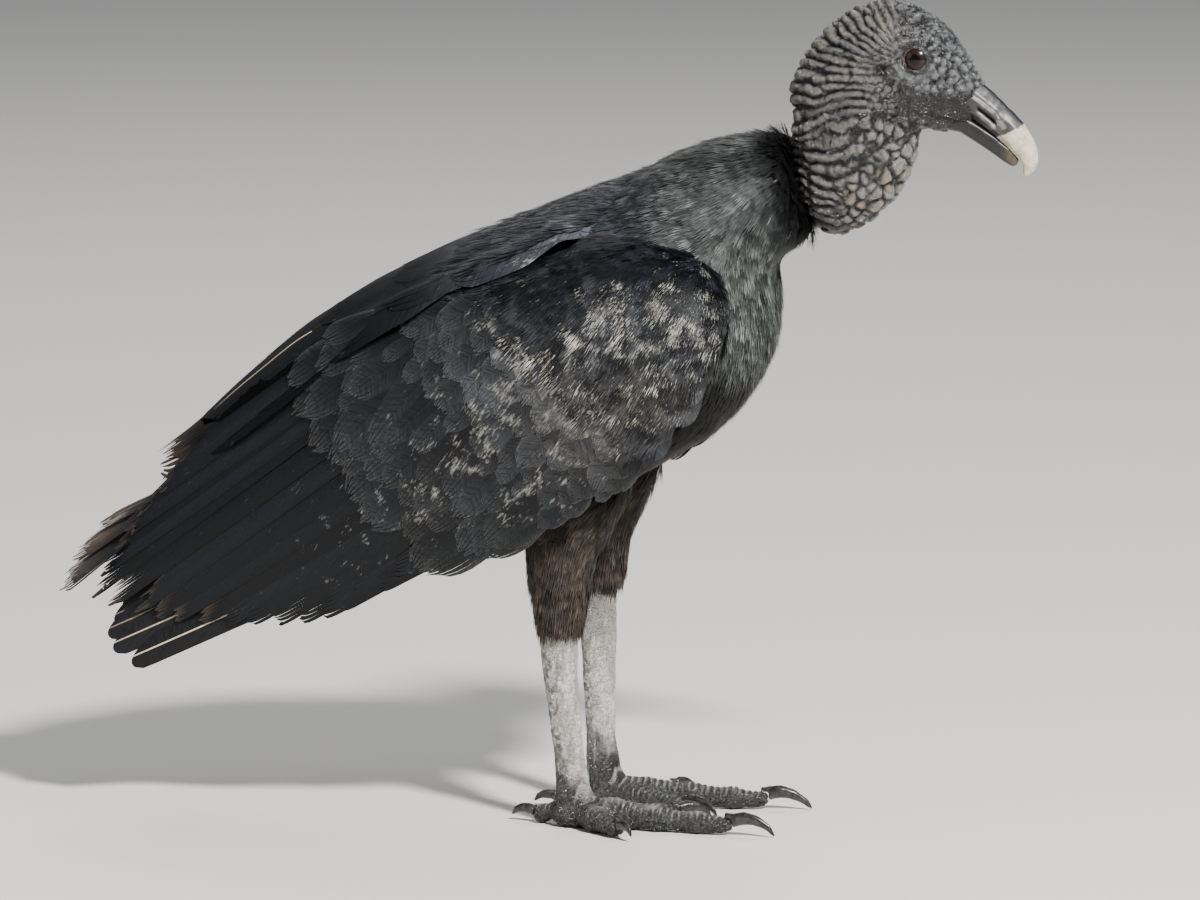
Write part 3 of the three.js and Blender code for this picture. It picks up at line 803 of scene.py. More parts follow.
def feather_material(name, rough, wear_scale):
    """Barbs run slantwise from a pale or dark shaft; wear shows as chalky streaks."""
    material, node, finish = new_material(name)
    paint = node("Attribute", attribute_name="paint").outputs["Color"]
    wear = node("Attribute", attribute_name="wear").outputs["Fac"]
    vane = node("SeparateXYZ", node("UVMap", uv_map="vane").outputs["UV"])
    out = node("Math", vane.outputs["X"], operation="ABSOLUTE").outputs[0]

    def weighed(length_share, width_share):
        first = node("Math", vane.outputs["Y"], length_share, operation="MULTIPLY")
        both = node("Math", out, width_share, first.outputs[0], operation="MULTIPLY_ADD")
        return both.outputs[0]

    feather = node("Attribute", attribute_name="feather").outputs["Fac"]
    spot = node("CombineXYZ", weighed(1.15, -0.95), weighed(0.05, 0.09), feather)
    barbs = node("TexNoise", Vector=spot.outputs[0], Scale=1.0, Detail=3.0, Roughness=0.65)
    shade = node("MapRange", barbs.outputs["Fac"], 0.32, 0.7, 0.35, 2.2)
    base = node("VectorMath", paint, operation="SCALE", Scale=shade.outputs["Result"])

    place = node("TexCoord").outputs["Object"]
    chalk = combed(node, place, degrees=52, stretch=4.5, scale=820.0, detail=4.0, rough=0.7)
    cloud = node("TexNoise", Vector=place, Scale=110.0, Detail=3.0)
    both = node("Math", chalk, cloud.outputs["Fac"], operation="MULTIPLY")
    scaled = node("Math", wear, 0.2 * wear_scale, both.outputs[0], operation="MULTIPLY_ADD")
    worn = node("MapRange", scaled.outputs[0], 0.39, 0.54, 0.0, 0.85).outputs["Result"]
    enough = node("MapRange", wear, 0.02, 0.3).outputs["Result"]
    present = node("Math", worn, enough, operation="MULTIPLY", use_clamp=True)
    chalked = laid_over(node, base.outputs[0], tone(146, 144, 137), present.outputs[0])

    line = node("MapRange", out, 0.32, 0.6, 1.0, 0.0).outputs["Result"]
    shaft = node("Attribute", attribute_name="shaft").outputs["Fac"]
    quill = node("Math", line, shaft, operation="MULTIPLY")
    height = node("Math", barbs.outputs["Fac"], line, operation="ADD")
    relief = node("Bump", Strength=0.5, Distance=0.00025, Height=height.outputs[0])
    finish(
        Base_Color=laid_over(node, chalked, tone(206, 190, 160), quill.outputs[0]),
        Normal=relief.outputs["Normal"], Roughness=rough, Specular_IOR_Level=0.22,
    )
    return material


def grid_faces(grid, order=(0, 1, 2, 3)):
    """Four-sided faces over a grid of points, row by row."""
    n, m = grid.shape[:2]
    index = np.arange(n * m).reshape(n, m)
    corners = index[:-1, :-1], index[:-1, 1:], index[1:, 1:], index[1:, :-1]
    return np.stack([corners[k] for k in order], -1)


def map_points(mesh, name, spots):
    """A UV map with one spot for each point."""
    corner = np.empty(len(mesh.loops), np.int32)
    mesh.loops.foreach_get("vertex_index", corner)
    layer = mesh.uv_layers.new(name=name)
    layer.data.foreach_set("uv", spots[corner].astype(np.float32).ravel())


class Web:
    """Collects laid feathers, all with the same rows of points, for one piece."""

    def __init__(self, rows, across):
        self.rows, self.across, self.parted = rows, across, False
        self.s = np.linspace(-1, 1, across + 1)
        self.t = np.linspace(0, 1, rows + 1)
        self.grids, self.vanes, self.paints = [], [], []
        self.wears, self.shafts, self.patches = [], [], []

    def add(self, grid, length, half, colour, wear, shaft, patch, patch_size):
        """One feather: its points, its size in the barbs' pattern, its looks and its patch."""
        n = (self.rows + 1, self.across + 1)
        self.grids.append(grid)
        s = np.broadcast_to(self.s, n) * half
        t = np.broadcast_to(self.t[:, None], n) * length
        self.vanes.append(np.stack([s, t], -1))
        self.paints.append(np.broadcast_to(colour, n + (3,)))
        self.wears.append(np.broadcast_to(wear, n))
        self.shafts.append(np.full(n, shaft))
        su = np.broadcast_to((self.s + 1) / 2, n) * patch_size[0]
        tu = np.broadcast_to(self.t[:, None], n) * patch_size[1]
        self.patches.append(np.stack([patch[0] + su, patch[1] + tu], -1))

    def fray(self, split, gap, reach):
        """Parts each web into strips towards the tip, some shorter than others."""
        t = self.t[:, None, None]
        for k, grid in enumerate(self.grids):
            run = np.linalg.norm(grid[-1, self.across // 2] - grid[0, self.across // 2])
            ahead = np.gradient(grid, axis=0)
            ahead /= np.maximum(np.linalg.norm(ahead, axis=2, keepdims=True), 1e-6)
            left, right = grid[:, :-1], grid[:, 1:]
            middle = (left + right) / 2
            close = gap * smooth(split, 1, t)
            short = reach * run * vane_rng.random(self.across)[None, :, None] * t**6
            back = (ahead[:, :-1] + ahead[:, 1:]) / 2 * short
            pair = [edge + (middle - edge) * close - back for edge in (left, right)]
            self.grids[k] = np.stack(pair, 2).reshape(self.rows + 1, -1, 3)
            for values in (self.vanes, self.paints, self.wears, self.shafts, self.patches):
                v = values[k]
                pair = np.stack([v[:, :-1], v[:, 1:]], 2)
                values[k] = pair.reshape((self.rows + 1, -1) + v.shape[2:])
        self.parted = True

    def piece(self, name, material):
        """All the feathers as one object."""
        count, points = len(self.grids), self.grids[0][..., 0].size
        quad = grid_faces(self.grids[0])
        quad = (quad[:, ::2] if self.parted else quad).reshape(-1, 4)
        faces = (quad[None] + (np.arange(count) * points)[:, None, None]).reshape(-1, 4)

        def run_on(values, wide):
            return np.concatenate([v.reshape(-1, wide) for v in values])

        mesh = new_mesh(name, run_on(self.grids, 3), faces)
        paint_points(mesh, "paint", run_on(self.paints, 3))
        mark_points(mesh, "wear", "FLOAT", run_on(self.wears, 1))
        mark_points(mesh, "shaft", "FLOAT", run_on(self.shafts, 1))
        mark_points(mesh, "feather", "FLOAT", np.repeat(np.arange(count) * 3.7, points))
        map_points(mesh, "OFBake", run_on(self.patches, 2))
        map_points(mesh, "vane", run_on(self.vanes, 2))
        mesh.shade_smooth()
        mesh.materials.append(material)
        return set_out(name, mesh)


def outline(t, root_share, round_from):
    """Half width along a feather, as a share of the widest: narrow root, round tip."""
    grow = root_share + (1 - root_share) * smooth(0, 0.42, t)
    end = np.sqrt(np.clip(1 - (np.clip(t - round_from, 0, 1) / (1.03 - round_from)) ** 2, 0.03, 1))
    return grow * end


def spread_rows(rows, step, start, end, even):
    """Rows of sizes [x, ...] read off at every step from start to end, with the kinks evened."""
    rows = np.array(rows, float)
    rows = rows[np.argsort(rows[:, 0])]
    x = np.arange(start, end, step)
    first, last = rows[0] + (rows[0] - rows[1]) * 3, rows[-1] + (rows[-1] - rows[-2]) * 2
    rows = np.vstack([first, rows, last])
    pad = int(3 * even / step)
    before, after = x[0] - step * np.arange(pad, 0, -1), x[-1] + step * np.arange(1, pad + 1)
    wide = np.concatenate([before, x, after])
    weight = np.exp(-((np.arange(-pad, pad + 1) * step / even) ** 2))
    table = [x]
    for k in range(1, rows.shape[1]):
        line = np.interp(wide, rows[:, 0], rows[:, k])
        table.append(np.convolve(line, weight / weight.sum(), "valid"))
    return np.stack(table, 1)


def read_off(table, x, *columns):
    """Sizes from a table of stations at any x."""
    return [np.interp(x, table[:, 0], table[:, k]) for k in columns]


def surface_tree(grid):
    """The surface over a grid, to look up the nearest place on it."""
    faces = grid_faces(grid, (0, 3, 2, 1)).reshape(-1, 4)
    return BVHTree.FromPolygons(grid.reshape(-1, 3).tolist(), faces.tolist())


def lay_along(tree, outward, root, heading, length, half, web, lift, tilt, arch, shape, ragged):
    """Walks from the root along the surface and sets the web's points on it, row by row."""
    width = outline(web.t, *shape) * half
    walk = tree.find_nearest(root)[0]
    aim = Vector(heading)
    grid = np.empty((web.rows + 1, web.across + 1, 3))
    step = length / web.rows
    jag = 1 - ragged * vane_rng.random(web.across + 1)
    for i, t in enumerate(web.t):
        spot, normal, _, _ = tree.find_nearest(walk)
        if normal.dot(outward(spot)) < 0:
            normal = -normal
        aim = (aim - normal * aim.dot(normal)).normalized()
        side_way = aim.cross(normal)
        rise = lift[0] + (lift[1] - lift[0]) * t
        for j, s in enumerate(web.s):
            back = length * (0.07 * s * s * t * t + (1 - jag[j]) * t**6)
            at = spot + side_way * (s * width[i]) - aim * back
            place, n, _, _ = tree.find_nearest(at)
            if n.dot(normal) < 0:
                n = -n
            curve = arch * (1 - s * s) * width[i] / 10
            grid[i, j] = place + n * (rise + tilt * s * (0.3 + 0.7 * t) + curve)
        walk = spot + aim * step
    return grid


# ---------------------------------------------------------------------------------------
# The folded wings. The form under the feathers is read off at stations from the wrist to
# the tips; small coverts shingle the shoulder, larger ones cover the roots of the flight
# feathers, which fan down to the lower edge.
wing_rows = [
    # x, top z and y, widest z and y, lower z and y
    [78.5, 268, 59, 263, 62, 256, 60],
    [74.5, 281, 53, 264, 68, 243, 63],
    [61, 292, 48, 260, 73, 217, 66],
    [38, 298, 46, 253, 76.5, 188, 67],
    [12, 300, 45, 245, 78, 169, 65],
    [-17, 294, 47, 232, 77, 154, 62],
    [-63, 280, 47, 213, 73, 131, 56],
    [-112, 259, 44, 190, 64, 109, 47],
    [-153, 235, 40, 170, 55, 103, 42],
    [-203, 196, 33, 147, 45, 104, 39],
    [-224, 166, 31, 134, 41, 104, 37],
    [-243, 138, 31, 120, 37, 102, 34],
    [-255, 112, 31, 107, 33, 101, 31],
]
wing_table = spread_rows(wing_rows, step=3.0, start=-290, end=86, even=7.0)
wing_table[:, 1] -= np.interp(wing_table[:, 0], [-125, -90, -10, 12], [0, 6, 6, 0])


def wing_grid(sign):
    """The form under the wing's feathers: over the top in an arc, then down the face."""
    rows = []
    for x, zt, yt, zm, ym, zl, yl in wing_table:
        line = []
        for a in np.radians(np.linspace(-42, 90, 16)):
            line.append((x, sign * (yt + (ym - yt) * math.sin(a)), zm + (zt - zm) * math.cos(a)))
        for t in np.linspace(0.07, 1.4, 20):
            line.append((x, sign * (ym + (yl - ym) * t * t), zm + (zl - zm) * t))
        rows.append(line)
    return np.array(rows)


def wing_face(x, z, sign):
    """The outer face of the folded wing at a place seen from the side."""
    zt, yt, zm, ym, zl, yl = read_off(wing_table, x, *range(1, 7))
    up = np.clip((z - zm) / np.maximum(zt - zm, 1), 0, 0.999)
    down = np.maximum((zm - z) / np.maximum(zm - zl, 1), 0)
    y = np.where(z > zm, yt + (ym - yt) * np.sqrt(1 - up**2), ym + (yl - ym) * down**2)
    return sign * y


def wing_heading(x, z):
    """How steeply the feathers point down, in degrees, at a place seen from the side."""
    marks = np.array([
        (72, 285, 64), (66, 240, 66), (40, 205, 52), (0, 170, 43), (-20, 290, 50), (-60, 240, 43),
        (-100, 190, 38), (-150, 150, 36), (-200, 150, 38), (-120, 250, 31), (-180, 200, 34),
        (-60, 275, 32),
    ], float)
    weight = 1 / ((marks[:, 0] - x) ** 2 + (marks[:, 1] - z) ** 2 + 150) ** 1.5
    return float((weight * marks[:, 2]).sum() / weight.sum())


def wing_wear(x, z):
    """How chalky the coverts are, 0 to 1.6."""
    mottled = 1.25 * bump(np.hypot((x - 46) / 42, (z - 268) / 20), 1.0)
    band = 0.32 * smooth(-95, -40, x) * bump(z - 238 - 0.1 * x, 40)
    low_band = 0.5 * smooth(-170, -110, x) * bump(z - 176 - 0.36 * (x + 60), 46)
    low_band = low_band * (1 - 0.8 * smooth(5, 35, x))
    splash = 0
    for sx, sz, size in (
        (-37, 260, 8), (-31, 249, 6), (-21, 240, 8), (-9, 232, 4.5), (-13, 244, 4),
        (11, 259, 3.5), (24, 268, 3), (-62, 250, 3), (66, 266, 3.5), (-52, 262, 3.5),
        (31, 262, 3), (49, 273, 3.5), (57, 262, 3),
    ):
        splash = splash + bump(np.hypot(x - sx, (z - sz) * 0.8), size)
    return np.clip(0.42 * mottled + band + low_band, 0, 0.6) + 0.75 * np.clip(splash, 0, 1)


def covert_tone(x, z):
    """The coverts' colour at a place seen from the side: near black, greyer up in front."""
    grey = blend_tone(tone(9, 11, 15), tone(43, 44, 46), smooth(-120, 20, x) * bump(z - 240, 50))
    blue = smooth(275, 288, z) * smooth(10, 40, x)
    grey = blend_tone(grey, tone(20, 22, 28), blue)
    tan = np.maximum(bump(np.hypot(x - 44, z - 228), 14), 0.6 * bump(np.hypot(x - 12, z - 215), 26))
    return blend_tone(grey, tone(80, 71, 61), 0.32 * tan)


covert_material = feather_material("wing covert", 0.5, 1.0)
flight_material = feather_material("flight feather", 0.42, 0.8)
covert_bands = (
    # from and to, down the lie of the wing; row step, width across, length, half width, lift
    (-16, 78, 8.0, 8.0, 22, 7.4, (-0.6, 0.3)),
    (76, 128, 9.5, 11.0, 30, 8.8, (-0.3, 1.3)),
    (128, 172, 12.5, 11.5, 52, 12.5, (0.0, 1.5)),
)
# The rows start at the wrist and follow one another down and back.
wrist_x, wrist_z, slope = 68, 292, math.radians(46)


def near_patch(x, z):
    """A spot in the bake's map for a place seen from the side."""
    return 0.5 + 0.48 * (x + 85) / 175, 0.5 + 0.48 * (z - 200) / 105


for side, sign in sides.items():
    form = wing_grid(sign)
    tree = surface_tree(form)
    outward = lambda spot, sign=sign: Vector((0, sign, 0.35))
    web = Web(8, 10)
    for start, end, row_step, gap, length, half, lift in covert_bands:
        for row, down in enumerate(np.arange(start, end, row_step)):
            for k in range(-22, 23):
                jitter = vane_rng.normal(0, 0.09, 2)
                over = (k + 0.5 * (row % 2) + jitter[0]) * gap
                run = down + jitter[1] * row_step
                x = wrist_x - run * math.cos(slope) - over * math.sin(slope)
                z = wrist_z - run * math.sin(slope) + over * math.cos(slope)
                top, low_edge = read_off(wing_table, x, 1, 5)
                top = top + 1.5 - 17 * smooth(-85, -120, x)
                front = 80 if sign < 0 else 72
                if x > front or x < -205 or z > top or z < low_edge + 1.5:
                    continue
                root = Vector((x, float(wing_face(x, z, sign)), z))
                a = math.radians(wing_heading(x, z) + vane_rng.normal(0, 6))
                heading = (-math.cos(a), 0, -math.sin(a))
                grown = vane_rng.normal(1, 0.14)
                # Near the lower edge a feather reaches no more than a little past it.
                reach = np.arange(0, length, 2.0)
                low, = read_off(wing_table, x - reach * math.cos(a), 5)
                past = np.nonzero(z - reach * math.sin(a) < low - 0.5)[0]
                if len(past):
                    grown = min(grown, reach[past[0]] / length)
                if grown < 0.4:
                    continue
                grid = lay_along(
                    tree, outward, root, heading, length * grown, half * grown, web,
                    lift, tilt=0.1, arch=0.6, shape=(0.6, 0.55), ragged=0.05,
                )
                px, pz = grid[..., 0], grid[..., 2]
                out_of_shade = (0.3 + 0.95 * smooth(0.25, 0.95, web.t))[:, None, None]
                own = covert_tone(px, pz) * vane_rng.uniform(0.45, 1.9) * out_of_shade
                fringe = np.maximum(np.abs(web.s)[None, :] ** 4, web.t[:, None] ** 6)
                if run > 84:
                    own = blend_tone(own, tone(80, 80, 78), 0.28 * fringe)
                web.add(
                    grid, length, half, own, wing_wear(px, pz) * vane_rng.uniform(0.5, 1.2),
                    0.0, near_patch(x, z), (0.004, 0.004),
                )
    web.fray(split=0.5, gap=0.16, reach=0.09)
    coverts = web.piece("coverts_" + side, covert_material)
    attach(coverts, "root")

    # Secondaries: the long blades behind the coverts, each upper one over the next below.
    tip_x = [-222, -243, -257, -240, -205, -153, -120, -89, -62]
    tip_z = [165, 137, 110, 103.5, 103, 102.5, 107, 118, 131]
    tip_run = np.concatenate([[0], np.cumsum(np.hypot(np.diff(tip_x), np.diff(tip_z)))])
    blades = 22
    web = Web(26, 10)
    for i in range(blades):
        share = i / (blades - 1)
        run = share * tip_run[-1]
        tx, tz = np.interp(run, tip_run, tip_x), np.interp(run, tip_run, tip_z)
        fall = np.interp(share, [0, 0.25, 0.6, 1], [36, 36, 31, 27]) + vane_rng.normal(0, 0.9)
        a = math.radians(fall)
        length = np.interp(share, [0, 0.3, 0.6, 1], [150, 175, 165, 112])
        length = length * vane_rng.normal(1, 0.035)
        half = np.interp(share, [0, 1], [22, 16])
        # Along the front the blades run with the lower edge, so they lie wholly above it.
        raised = half * smooth(0.55, 1.0, share)
        tx = tx + vane_rng.normal(0, 1.5) - raised * math.sin(a)
        tz = tz + abs(vane_rng.normal(0, 1.0)) + raised * math.cos(a)
        width = outline(web.t, root_share=0.9, round_from=0.88) * half
        jag = vane_rng.random(web.across + 1) * (0.10 if share < 0.35 else 0.03)
        s, t = web.s[None, :], web.t[:, None]
        back = (1 - t) * length + length * (0.035 * s**2 * t**4 + jag[None, :] * t**9)
        px = tx + back * math.cos(a) - s * width[:, None] * math.sin(a)
        pz = tz + back * math.sin(a) - s * width[:, None] * math.cos(a)
        face = wing_face(px, pz, sign)
        level = -1.4 + 1.9 * t + 0.8 * s + 0.4 * (1 - s**2) + 0.3 * vane_rng.normal() * t
        grid = np.stack([px, face + sign * level, pz], -1)
        # Painted shade along each blade's edges, and a painted sheen down its middle.
        edge_shade_and_sheen = (0.5 + 0.6 * (1 - s**2))[..., None]
        own = covert_tone(px, pz) * vane_rng.uniform(0.45, 1.3) * edge_shade_and_sheen
        if share < 0.5:
            own = blend_tone(own, tone(84, 74, 64), 0.35 * smooth(0.93, 1.0, t) * np.ones_like(s))
        web.add(
            grid, length, half, own, 0.6 * wing_wear(px, pz) + 0.08, 0.0,
            (0.02 + 0.052 * i, 0.03), (0.045, 0.94),
        )
    web.fray(split=0.86, gap=0.12, reach=0.015)
    secondaries = web.piece("secondary_feathers_" + side, flight_material)
    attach(secondaries, "root")
    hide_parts("secondaries_" + side)

    # Primaries: the hand feathers, folded under the secondaries, with ivory shafts.
    hand_tips = [
        # x, z and y of the tip, and how pale the shaft is
        (-233, 78.5, 35.2, 1.0), (-243, 85, 34, 0.7), (-246, 92, 32.8, 0.3),
        (-243, 99, 31.6, 0.2), (-239, 106, 30.4, 0.2),
    ]
    web = Web(22, 8)
    wide = np.array([0.42, 0, 0.91])
    for i, (tx, tz, ty, ivory) in enumerate(hand_tips):
        tip = np.array([tx, sign * ty, tz])
        root = np.array([-70, sign * (ty + 4), tz + 0.466 * (-70 - tx)])
        run = tip - root
        length = np.linalg.norm(run)
        s, t = web.s[None, :, None], web.t[:, None, None]
        width = outline(web.t, root_share=0.7, round_from=0.93)[:, None, None] * 12
        out_way = np.array([0, sign, 0])
        grid = root + run * (t - 0.03 * s**2 * t**10) - wide * s * width
        grid = grid + out_way * (0.35 * s + 0.5 * (1 - s**2) + 0.4)
        web.add(
            grid, length, 10.2, tone(16, 16, 18) * vane_rng.uniform(0.9, 1.15), 0.0,
            ivory, (0.03 + 0.19 * i, 0.03), (0.16, 0.94),
        )
    primaries = web.piece("primary_feathers_" + side, flight_material)
    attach(primaries, "root")
    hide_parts("primaries_" + side)

# ---------------------------------------------------------------------------------------
# Scapulars and tertials: the long feathers of shoulder and inner wing, laid as a roof from
# the mantle to over the tail, with the longest and most worn at the rear.
roof_rows = [
    # x, ridge z, half width, drop
    [22, 325, 16, 8],
    [4, 319, 36, 18],
    [-30, 305.5, 49, 22],
    [-72, 290, 52, 24],
    [-112, 270, 49, 23],
    [-150, 245.5, 43, 21],
    [-185, 215.5, 37, 18],
    [-208, 193, 31, 15],
    [-225, 180, 24, 10],
    [-236.5, 170, 14, 5],
]
roof_table = spread_rows(roof_rows, step=3.0, start=-252, end=36, even=6.0)


def roof_point(x, share, sign):
    """A place on the roof: share runs from 0 on the ridge to 1 on its edge."""
    ridge, half, drop = read_off(roof_table, x, 1, 2, 3)
    lifted = 9 * smooth(0.7, 1.05, share) * np.interp(x, [-150, -90, -10, 14], [0, 1, 1, 0])
    return np.stack([x + 0 * share, sign * half * share, ridge - drop * share**2 + lifted], -1)


roof_layers = (
    # root x, how many on each side, length, half width, lift at root and tip
    (30, 4, 50, 10, (-0.2, 1.0)),
    (16, 5, 60, 11, (-0.2, 1.0)),
    (-2, 6, 72, 12, (-0.2, 1.0)),
    (-24, 6, 84, 13, (-0.2, 1.0)),
    (-50, 6, 100, 14, (-0.2, 1.0)),
    (-80, 6, 118, 14.5, (-0.2, 1.0)),
    (-106, 5, 126, 14.5, (-0.3, 1.0)),
    (-122, 4, 134, 15, (-0.4, 0.9)),
)
for side, sign in sides.items():
    web = Web(18, 8)
    for layer, (root_x, count, length, half, lift) in enumerate(roof_layers):
        for k in range(count):
            share = (k + (0.3 if layer % 2 else 0.7)) / count * 1.04
            start = root_x + vane_rng.normal(0, 2.5)
            long_ = length * vane_rng.normal(1, 0.03)
            # A step along the roof is longer than its step in x by the slope there.
            xs, here = [start], start
            for _ in range(web.rows):
                ahead = roof_point(here - 1, share, sign) - roof_point(here, share, sign)
                here -= long_ / web.rows / np.linalg.norm(ahead)
                xs.append(here)
            xs = np.maximum(np.array(xs), -249)
            s, t = web.s[None, :], web.t[:, None]
            width = outline(web.t, root_share=0.55, round_from=0.72)[:, None] * half
            jag = vane_rng.random(web.across + 1)[None, :] * (0.02 + 0.02 * (root_x < -80))
            px = xs[:, None] + long_ * 0.85 * (0.05 * s**2 * t**3 + jag * t**12)
            half_here, = read_off(roof_table, px, 2)
            at_share = share + s * width / np.maximum(half_here, 9)
            points = roof_point(px, np.abs(at_share), np.where(at_share < 0, -sign, sign))
            level = lift[0] + (lift[1] - lift[0]) * t + 0.45 * s + 0.35 * (1 - s**2)
            bold = (layer, k) == (6, 2)
            points[..., 2] += level + 0.8 * bold * smooth(0.2, 0.5, t)
            rear = 1 - smooth(-232, -196, points[..., 0])
            cloud = noise(points.reshape(-1, 3) / 22, 95).reshape(px.shape)
            own = blend_tone(tone(20, 21, 25), tone(36, 37, 40), 0.5 + 0.5 * cloud)
            fore_lit = (1 + 1.5 * smooth(-110, 10, points[..., 0]))[..., None]
            own = own * vane_rng.uniform(0.7, 1.2) * fore_lit
            own = own * (0.16 + 0.84 * smooth(-120, -30, points[..., 0]))[..., None]
            own = blend_tone(own, tone(78, 64, 54), 0.75 * rear * smooth(0.55, 0.95, t))
            web.add(
                points, long_, half, own, 0.12 + 0.4 * smooth(-90, 0, points[..., 0]),
                0.9 if bold else 0.0,
                (0.5 + sign * 0.46 * share, 0.02 + 0.9 * (start + 130) / 170), (0.004, 0.006),
            )
    # One short underfeather shows its grey tip in the slit over the wing.
    s, t = web.s[None, :], web.t[:, None]
    width = outline(web.t, root_share=0.6, round_from=0.6)[:, None] * 5
    points = np.stack([
        10 - 26 * t + 0 * s, sign * (47 + 3 * t - 2 * s**2), 290 - 5 * t - s * width,
    ], -1)
    web.add(points, 26, 5, tone(62, 66, 70), 0.5, 0.0, (0.49, 0.97), (0.004, 0.006))
    web.fray(split=0.6, gap=0.25, reach=0.05)
    scapulars = web.piece("scapular_feathers_" + side, flight_material)
    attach(scapulars, "root")
    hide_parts("scapulars_" + side)

# ---------------------------------------------------------------------------------------
# The tail: twelve stiff feathers in a short, square fan under the wing tips, brown and
# frayed where they have worn, with pale shafts. The middle pair lies on top.
tail_root, tail_tip = np.array([-150, 199.0]), np.array([-274, 125.5])
root_half, tip_half, edge_drop, lean = 17, 46, 5, math.tan(math.radians(14))
blade_length, blade_half = 145, 17
web = Web(22, 10)
for i in range(12):
    share = (2 * i + 1) / 12 - 1
    sign = 1 if share > 0 else -1
    s, t = web.s[None, :], web.t[:, None]
    # The fan has closed into three bundles, one above the next, each a little shorter.
    bundle = i // 4
    reach = t * (1.02 - 0.035 * bundle - 0.03 * share**2) * (1 + vane_rng.normal(0, 0.008))
    jag = vane_rng.random(web.across + 1)[None, :] * 0.03
    reach = reach - 0.035 * s**2 * t**8 - jag * t**12
    width = outline(web.t, root_share=0.35, round_from=0.9)[:, None] * blade_half
    y = share * (root_half + (tip_half - root_half - 12) * reach) + s * width * (0.35 + 0.65 * t)
    x = tail_root[0] + (tail_tip[0] - tail_root[0]) * reach
    level = tail_root[1] + (tail_tip[1] - tail_root[1]) * reach
    z = level - edge_drop * (y / tip_half) ** 2 * reach + y * lean * reach
    z = z - 1.5 * abs(share) - 0.25 * s * sign + 0.6 * (1 - s**2)
    z = z + (-3.5, 0, 4)[bundle] * smooth(0.3, 1, t)
    grid = np.stack([x + 0 * s, y, z], -1)
    worn = (tone(64, 60, 57), tone(86, 72, 61), tone(92, 76, 64))[bundle]
    own = blend_tone(tone(14, 14, 16), worn, smooth(0.74, 0.93, t) * (1 - 0.35 * np.abs(s)))
    own = own * (0.6 + 0.55 * (i % 4) / 3)
    web.add(
        grid, blade_length, blade_half, own, 0.25 * smooth(0.6, 1, t), 0.8,
        (0.02 + 0.08 * i, 0.03), (0.07, 0.94),
    )
web.fray(split=0.75, gap=0.3, reach=0.035)
tail = web.piece("tail_feathers", flight_material)
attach(tail, "root")
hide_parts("tail")

# ---------------------------------------------------------------------------------------
# Body plumage: small soft feathers over neck, breast, belly, back, rump and thighs. Each is
# a tuft of fine barbs, rooted in the hide and combed along the body, one over the next.
tuft_rng = np.random.default_rng(21)


def tuft_material(name):
    """Barbs darker at the root than at the tip; chalky dust catches on some of them."""
    material, node, finish = new_material(name)
    place = node("TexCoord").outputs["Object"]
    _, shade = grain_of(
        node, place, scale=260.0, detail=3.0, rough=0.6, reads=(0.3, 0.7), gives=(0.6, 1.4)
    )
    leaf = node("SeparateXYZ", node("Attribute", attribute_name="leaf").outputs["Vector"])
    root_dark = node("MapRange", leaf.outputs["Y"], 0.3, 1.0, 0.4, 1.35)
    both = node("Math", shade, root_dark.outputs["Result"], operation="MULTIPLY")
    paint = node("Attribute", attribute_name="tone").outputs["Vector"]
    mixed = node("VectorMath", paint, operation="SCALE", Scale=both.outputs[0])
    chalk = node("Attribute", attribute_name="chalk").outputs["Fac"]
    spots = combed(node, place, degrees=54, stretch=5, scale=1100.0, detail=3.0, rough=0.65)
    lay = node("Math", chalk, spots, operation="ADD")
    white = node("MapRange", lay.outputs[0], 0.80, 1.08, 0.0, 0.9).outputs["Result"]
    finish(
        Base_Color=laid_over(node, mixed.outputs[0], tone(188, 185, 175), white),
        Roughness=0.5, Specular_IOR_Level=0.12,
    )
    return material


def tuft_mesh(name, barbs, fan, seed):
    """One tuft of unit length along +X, +Z away from the hide, as a fan of tapering barbs."""
    rng = np.random.default_rng(seed)
    verts, faces, leaf = [], [], []
    for b in range(barbs):
        s = (b + 0.5) / barbs * 2 - 1
        reach = (1 - 0.18 * s * s) * rng.uniform(0.8, 1.05)
        spread = s * fan + rng.normal(0, 0.02)
        wide = 0.75 * fan / barbs * 2
        level = rng.uniform(0, 0.05)
        first = len(verts)
        for t in (0.0, 0.35, 0.7):
            centre_y = spread * (0.25 + 0.75 * math.sin(min(1, t * 1.1) * math.pi / 2))
            height = level + 0.16 * t - 0.10 * t * t
            half = wide * (0.7, 1.0, 0.7)[int(t / 0.35 + 0.5)] / 2
            for edge in (-1, 1):
                verts.append((reach * t, centre_y + edge * half, height - 0.03 * abs(s) * (t > 0)))
                leaf.append(((s + 1) / 2, t, 0))
        verts.append((reach, spread * 1.04, level + 0.05 + rng.uniform(-0.02, 0.05)))
        leaf.append(((s + 1) / 2, 1, 0))
        for k in (0, 2):
            a = first + k
            faces.append((a, a + 2, a + 3, a + 1))
        faces.append((first + 4, first + 6, first + 5))
    mesh = bpy.data.meshes.new(name)
    mesh.from_pydata(verts, [], faces)
    mark_points(mesh, "leaf", "FLOAT_VECTOR", leaf)
    mesh.shade_smooth()
    return mesh


def tuft_kinds(name, barbs, fan, seed):
    """Five tufts of one make, to be picked from."""
    kinds = bpy.data.collections.new(name + "s")
    for k in range(5):
        label = "%s %d" % (name, k)
        kinds.objects.link(bpy.data.objects.new(label, tuft_mesh(label, barbs, fan, seed + k)))
    return kinds


